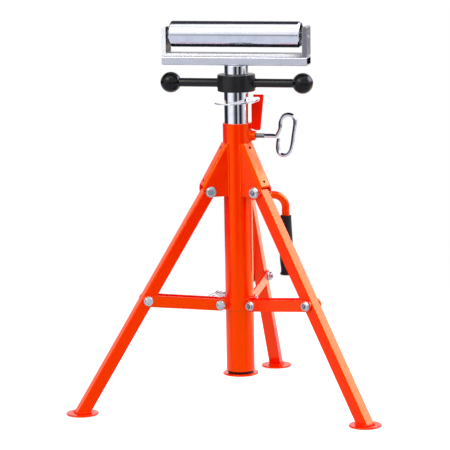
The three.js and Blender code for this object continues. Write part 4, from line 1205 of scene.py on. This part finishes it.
pin_outline = [(0, 0.0258), (0.004, 0.0258), (0.004, 0.0392), (0.0048, 0.0392), (0.0048, 0.0436),
               (KNOB_RADIUS, 0.0440), (KNOB_RADIUS, KNOB_END), (0, KNOB_END)]
pin_corners = [0, 0.0008, 0.0002, 0.0007, 0.0003, 0.0009, 0.0016, 0]
bright_zinc = metal("bright_zinc", 0.5, (0.88, 0.90, 0.90), (0.74, 0.76, 0.77), 260.0, (0.12, 0.24),
                    (0.10, 0.0001))
pin = turn_piece("pin", round_corners(pin_outline, pin_corners, 5), 64, bright_zinc, LAID)
tab_outline = round_corners([(KNOB_END - 0.0008, -0.0032), (TAB_END, -0.0032), (TAB_END, 0.0064),
                             (KNOB_END - 0.0008, 0.0064)], [0, 0.0034, 0.0038, 0.0012], 8)
tab = piece_from("tab", extrude_outline(tab_outline, -0.0019, 0.0019), bright_zinc, SIDEWAYS)
drill(tab, [rod_along("Y", 0.0016, -0.01, 0.01, Matrix.Translation((EYE_DISTANCE, 0, EYE_RISE)))])
soften_edges(tab, 0.0006, steps=3)
plunger = join_pieces("plunger_pin", [pin, tab])
plunger.data.transform(towards_lock)
fit(plunger, "plunger", "lock_plunger")

chrome = metal("chrome_plate", 1.0, (0.80, 0.81, 0.84), (0.74, 0.75, 0.79), 70.0, (0.05, 0.10),
               (0.05, 0.00005), (1, 1, 0.04), 1500.0)

ring_place = (towards_lock @ Matrix.Translation((EYE_DISTANCE, 0, EYE_RISE))
              @ Matrix.Rotation(RING_SLOPE, 4, "Y") @ Matrix.Translation((RING_RADIUS, 0, 0)))
ring_path = [(x, y, 0) for x, y in circle(RING_RADIUS, 96)]
pull_ring = sweep_round("pull_ring_wire", ring_path, 0.001, chrome, 20, ring=True, place=ring_place)
fit(pull_ring, "pull_ring", "pull_ring")


# Mast and plate ring: a polished, chrome plated steel tube that slides in the column, and a
# flat chromed ring that tilts against it and grips it, held by the hook.

MAST_RADIUS = 0.0222
MAST_INSIDE = 0.0206
MAST_BOTTOM = 0.026
MAST_TOP = 0.516
PLATE_RING_RADIUS = 0.0395
PLATE_RING_INSIDE = 0.0228
PLATE_RING_HALF = 0.00125
RING_TILT = math.radians(3.5)
RING_LEAN = math.radians(3)
RING_HEIGHT = 0.5007 - PLATE_RING_RADIUS * math.sin(RING_TILT)

mast = turn_piece("mast_pipe", tube_outline(MAST_RADIUS, MAST_INSIDE, MAST_BOTTOM, MAST_TOP, 0.0006), 160,
                  chrome)
fit(mast, "mast", "mast_tube")

plate_ring = turn_piece("plate_ring", tube_outline(
    PLATE_RING_RADIUS, PLATE_RING_INSIDE, -PLATE_RING_HALF, PLATE_RING_HALF, 0.0005), 128, chrome,
    Matrix.Translation((0, 0, RING_HEIGHT)) @ Matrix.Rotation(RING_LEAN, 4, "X")
    @ Matrix.Rotation(-RING_TILT, 4, "Y"))
fit(plate_ring, "brake_ring", "brake_ring")


# Clamp screw: an M8 threaded steel rod, chrome plated, whose outer end is bent round into an
# open loop for the hand.

SHANK_END = 0.0716
LOOP_HEIGHT = 0.0734
LOOP_SHARES = [(0.06, 0.085), (0.105, 0.19), (0.113, 0.31), (0.14, 0.415), (0.2, 0.49), (0.288, 0.524),
               (0.394, 0.503), (0.466, 0.425), (0.478, 0.31), (0.457, 0.153), (0.429, -0.022),
               (0.403, -0.198), (0.348, -0.364), (0.268, -0.451), (0.153, -0.472), (0.068, -0.407),
               (0.041, -0.31), (0.045, -0.198), (0.058, -0.123), (0.066, -0.055)]


# A painted dark reflection runs along the rod, on its faces turned up and to the column
def painted_reflection_streak(tree, colour):
    reflection_side = node(tree, "ShaderNodeAttribute", attribute_name="reflection_side").outputs["Fac"]
    return blend(tree, window(tree, reflection_side, 0.02, 0.08, 0.50, 0.62), colour, (0.004, 0.004, 0.008, 1))


plated_rod = metal("plated_rod", 1.0, (0.80, 0.81, 0.86), (0.70, 0.71, 0.76), 70.0, (0.05, 0.10),
                   (0.05, 0.00005), line_size=1500.0, toned=painted_reflection_streak)
# the screw's thread is painted dark grey, a painted shade in its grooves
thread_steel = even_material("thread_steel", (0.16, 0.165, 0.19), 0.22, metallic=1.0)

loop_points = [(0.047, 0, 0), (0.0642, 0, 0), (SHANK_END, 0, 0)]
loop_points += [(SHANK_END + out * LOOP_HEIGHT, 0, up * LOOP_HEIGHT) for out, up in LOOP_SHARES]
loop_path = smooth_path(loop_points)
loop_radii = [0.0037] * len(loop_path)
loop_radii[-1], loop_radii[-2] = 0.0029, 0.0036
loop_path[-2] = loop_path[-1] + 0.0008 * (loop_path[-2] - loop_path[-1]).normalized()
bent_rod = sweep_round("bent_rod", loop_path, loop_radii, plated_rod, 40)
thread = cut_thread("screw_thread", 0.004, 0.00125, 0.0284, thread_steel, 32,
                    Matrix.Translation((0.0226, 0, 0)) @ LAID)
for face in thread.data.polygons:
    face.material_index = 1
clamp_screw = join_pieces("clamp_screw_rod", [bent_rod, thread])
clamp_screw.data.materials.append(thread_steel)
# the painted reflection's mask: how far each point faces up and to the column
turned_up = Vector((-0.707, 0.0, 0.707))
reflection_side = clamp_screw.data.attributes.new("reflection_side", "FLOAT", "POINT")
reflection_side.data.foreach_set("value", [vertex.normal.dot(turned_up) for vertex in clamp_screw.data.vertices])
clamp_screw.data.transform(Matrix.Translation((0, 0, CLAMP_HEIGHT)))
fit(clamp_screw, "clamp_screw", "clamp_screw")


# Screw nut: a turned steel hub, painted black, with two round steel arms welded into it and
# ball handles of black moulded plastic pushed on their ends.

NUT_BOTTOM = 0.5163
NUT_TOP = 0.5465
NUT_RADIUS = 0.0338
ARM_HEIGHT = 0.5309
ARM_RADIUS = 0.0078
BALL_DISTANCE = 0.121
BALL_RADIUS = 0.0186

black_paint = coated("black_paint", (0.004, 0.004, 0.005), (0.009, 0.009, 0.010), (60.0, 0.6), (0.24, 0.38),
                     (700.0, 0.3), (0.3, 0.00025), 0.34)
hub_outline = round_corners(
    [(0.0195, NUT_BOTTOM), (NUT_RADIUS, NUT_BOTTOM), (NUT_RADIUS, NUT_TOP), (0.0195, NUT_TOP)],
    [0.0008, 0.0016, 0.0016, 0.0008], 6)
hub = turn_piece("nut_hub", hub_outline, 128, black_paint)
fit(hub, "nut", "nut_body")

black_plastic = coated("black_plastic", (0.004, 0.004, 0.005), (0.002, 0.002, 0.003), (50.0, 0.4),
                       (0.14, 0.24), (260.0, 0.2), (0.15, 0.0002), 0.22)

arm_outline = round_corners([(0, 0.030), (ARM_RADIUS, 0.030), (ARM_RADIUS, 0.1109), (0, 0.1109)],
                            [0, 0, 0.0008, 0])
ball_outline = [(0, 0.1112), (0.0081, 0.1112), (0.0081, 0.1039)]
mouth = math.asin(0.0098 / BALL_RADIUS)
ball_outline.append((0.0090, BALL_DISTANCE - BALL_RADIUS * math.cos(mouth) - 0.0001))
for k in range(41):
    angle = mouth + (math.pi - mouth) * k / 40
    ball_outline.append((BALL_RADIUS * math.sin(angle), BALL_DISTANCE - BALL_RADIUS * math.cos(angle)))
for side, name in ((1, "right"), (-1, "left")):
    out = Matrix.Translation((0, 0, ARM_HEIGHT)) @ Matrix.Rotation(side * math.pi / 2, 4, "Y")
    arm = turn_piece(f"nut_handle_arm_{name}", arm_outline, 64, black_paint, out)
    drill(arm, [rod_along("Z", NUT_RADIUS + 0.0003, 0.50, 0.56, steps=128)])
    fit(arm, "nut", f"nut_arm_{name}")
    ball = turn_piece(f"nut_handle_ball_{name}", ball_outline, 72, black_plastic, out)
    fit(ball, "nut", f"nut_ball_{name}")
arm_ring = ring_seam(ARM_RADIUS + 0.0002, NUT_RADIUS, 0.0003, ARM_HEIGHT)
arm_seams = [([(side * p.x, p.y, p.z) for p in arm_ring], True) for side in (1, -1)]
arm_weld = lay_bead("nut_arm_weld", arm_seams, 0.0012, black_paint, 24)
fit(arm_weld, "nut")


# Stem: a hollow screw with a coarse rolled thread that the nut lifts, a smooth neck and a
# turned spigot that the head swivels on. Its thread shows when the head is raised.

THREAD_RADIUS = 0.0192
STEM_BOTTOM = 0.425
STEM_SHOULDER = 0.5468
NECK_RADIUS = 0.021
STEM_TOP = 0.5632

neck_outline = round_corners([
    (0.015, STEM_BOTTOM), (0.0162, STEM_BOTTOM), (0.0162, STEM_SHOULDER - 0.002),
    (THREAD_RADIUS - 0.0002, STEM_SHOULDER - 0.002), (THREAD_RADIUS - 0.0002, STEM_SHOULDER),
    (NECK_RADIUS, STEM_SHOULDER), (NECK_RADIUS, STEM_TOP), (0.014, STEM_TOP), (0.014, 0.570),
    (0.0098, 0.570), (0.0098, 0.559), (0.015, STEM_SHOULDER)],
    [0.0004, 0.0006, 0, 0.0004, 0, 0.0009, 0.0009, 0.0006, 0.0007, 0.0005, 0, 0])
neck = turn_piece("neck", neck_outline, 128, chrome)
stem_thread = cut_thread("stem_thread", THREAD_RADIUS, 0.006, STEM_SHOULDER - STEM_BOTTOM, chrome, 64,
                         Matrix.Translation((0, 0, STEM_BOTTOM)))
drill(stem_thread, [rod_along("Z", 0.015, 0.42, 0.5460, steps=96)])
stem = join_pieces("stem_screw", [neck, stem_thread])
fit(stem, "stem", "stem_tube")


# Head: a rectangular steel tube with open ends, and on it a U cradle bent from thick flat
# steel whose uprights hold the roller's axle. Both are brushed and bright.

HALF_WIDTH = 0.1324
DEPTH = 0.0365
BASE_BOTTOM = 0.5635
BASE_TOP = 0.5789
STRAP_BOTTOM = 0.5792
STRAP_TOP = 0.5842
CHEEK = 0.0085
CHEEK_TOP = 0.633
AXLE_HEIGHT = 0.618

bright_steel = metal("bright_steel", 1.0, (0.76, 0.77, 0.83), (0.68, 0.69, 0.76), 60.0, (0.09, 0.15),
                     (0.10, 0.00008), (0.03, 1, 1), 1700.0)
satin_steel = metal("satin_steel", 1.0, (0.70, 0.715, 0.78), (0.60, 0.615, 0.69), 45.0, (0.30, 0.42),
                    (0.12, 0.0001), (0.03, 1, 1), 1500.0)
# Dark steel: painted shade inside the base tube and on the cradle's faces round the roller, and the colour of
# the bearing caps
dark_steel = metal("dark_steel", 1.0, (0.09, 0.095, 0.12), (0.06, 0.065, 0.085), 90.0, (0.22, 0.36),
                   (0.10, 0.0001))


# The cradle is brighter; it is painted darker towards its right upright as painted shade, and dark where it
# faces the roller as painted shade
def painted_shade_right(tree, colour):
    along = node(tree, "ShaderNodeSeparateXYZ", in_0=object_place(tree)).outputs["X"]
    return blend(tree, spread(tree, along, 0.10, 0.127, in_3=0.0, in_4=0.90), colour, (0.10, 0.105, 0.14, 1))


cradle_steel = metal("cradle_steel", 0.25, (0.97, 0.975, 0.99), (0.91, 0.92, 0.96), 70.0, (0.15, 0.26),
                     (0.12, 0.0001), (0.03, 1, 1), 1500.0, painted_shade_right)


def box_section(width, height, corner, steps=6):
    x, y = width / 2, height / 2
    return round_corners([(-x, -y), (x, -y), (x, y), (-x, y)], corner, steps)


lying = Matrix.Translation((0, 0, (BASE_BOTTOM + BASE_TOP) / 2)) @ LAID
base = piece_from("base_tube", extrude_outline(box_section(BASE_TOP - BASE_BOTTOM, DEPTH, 0.0024),
                                               -HALF_WIDTH, HALF_WIDTH), satin_steel, lying)
base_inside = box_section(BASE_TOP - BASE_BOTTOM - 0.0048, DEPTH - 0.0048, 0.0014)
hollow = piece_from("cutter", extrude_outline(base_inside, -0.2, 0.2), None, lying)
drill(base, [hollow, rod_along("Z", 0.0143, 0.55, 0.571, steps=96)])
soften_edges(base, 0.0004, steps=2, angle=50)


def inside_base(face):
    deep = abs(face.center.y) < DEPTH / 2 - 0.002 and BASE_BOTTOM + 0.002 < face.center.z < BASE_TOP - 0.002
    return deep and abs(face.normal.x) < 0.5


# the inside of the tube is painted dark, a painted shade
refinish(base, dark_steel, inside_base)
fit(base, "head", "head_base")

inner = HALF_WIDTH - CHEEK
cradle_outline = round_corners([
    (-HALF_WIDTH, STRAP_BOTTOM), (HALF_WIDTH, STRAP_BOTTOM), (HALF_WIDTH, CHEEK_TOP), (inner, CHEEK_TOP),
    (inner, STRAP_TOP), (-inner, STRAP_TOP), (-inner, CHEEK_TOP), (-HALF_WIDTH, CHEEK_TOP)],
    [0.0026, 0.0026, 0.0032, 0.0032, 0.0012, 0.0012, 0.0032, 0.0032], 7)
cradle = piece_from("roller_cradle", extrude_outline(cradle_outline, -DEPTH / 2, DEPTH / 2), cradle_steel,
                    SIDEWAYS)
drill(cradle, [rod_along("X", M10_HOLE, -0.2, 0.2, Matrix.Translation((0, 0, AXLE_HEIGHT)))])
soften_edges(cradle, 0.0021, steps=4, angle=50)
# the cheeks' inner faces and the strap's top between them are painted dark, a painted shade under the roller
refinish(cradle, dark_steel, lambda face: abs(abs(face.center.x) - inner) < 0.0003
         or face.normal.z > 0.95 and abs(face.center.z - STRAP_TOP) < 0.0003)
fit(cradle, "head", "head_cradle")

axle_outline = round_corners([(0, -0.1318), (0.005, -0.1318), (0.005, 0.1318), (0, 0.1318)],
                             [0, 0.0008, 0.0008, 0])
along_axle = Matrix.Translation((0, 0, AXLE_HEIGHT)) @ LAID
axle = turn_piece("axle_pin", axle_outline, 48, zinc, along_axle)
fit(axle, "head", "roller_axle")


# Roller: a bright steel tube with turned ends on two pressed bearing caps, which run on the
# axle.

ROLLER_RADIUS = 0.0235
ROLLER_HALF = 0.119

roller_outline = round_corners([
    (0.0205, -ROLLER_HALF), (ROLLER_RADIUS - 0.0026, -ROLLER_HALF), (ROLLER_RADIUS, -ROLLER_HALF + 0.0026),
    (ROLLER_RADIUS, ROLLER_HALF - 0.0026), (ROLLER_RADIUS - 0.0026, ROLLER_HALF), (0.0205, ROLLER_HALF)],
    [0.0003, 0.0008, 0.0024, 0.0024, 0.0008, 0.0003], 5)
roller = turn_piece("roller_shell", roller_outline, 160, bright_steel, along_axle)
fit(roller, "roller", "roller_tube")

cap_outline = round_corners([
    (M10_HOLE, 0.1046), (0.0202, 0.1046), (0.0202, 0.1166), (0.0165, 0.1166), (0.0165, 0.1146),
    (0.0095, 0.1146), (0.0095, 0.1166), (M10_HOLE, 0.1166)],
    [0.0004, 0.0006, 0.0006, 0.0005, 0.0006, 0.0006, 0.0005, 0.0005], 4)
for side, name in ((1, "right"), (-1, "left")):
    out = Matrix.Translation((0, 0, AXLE_HEIGHT)) @ Matrix.Rotation(side * math.pi / 2, 4, "Y")
    cap = turn_piece(f"bearing_cap_{name}", cap_outline, 96, dark_steel, out)
    fit(cap, "roller", f"roller_cap_{name}")
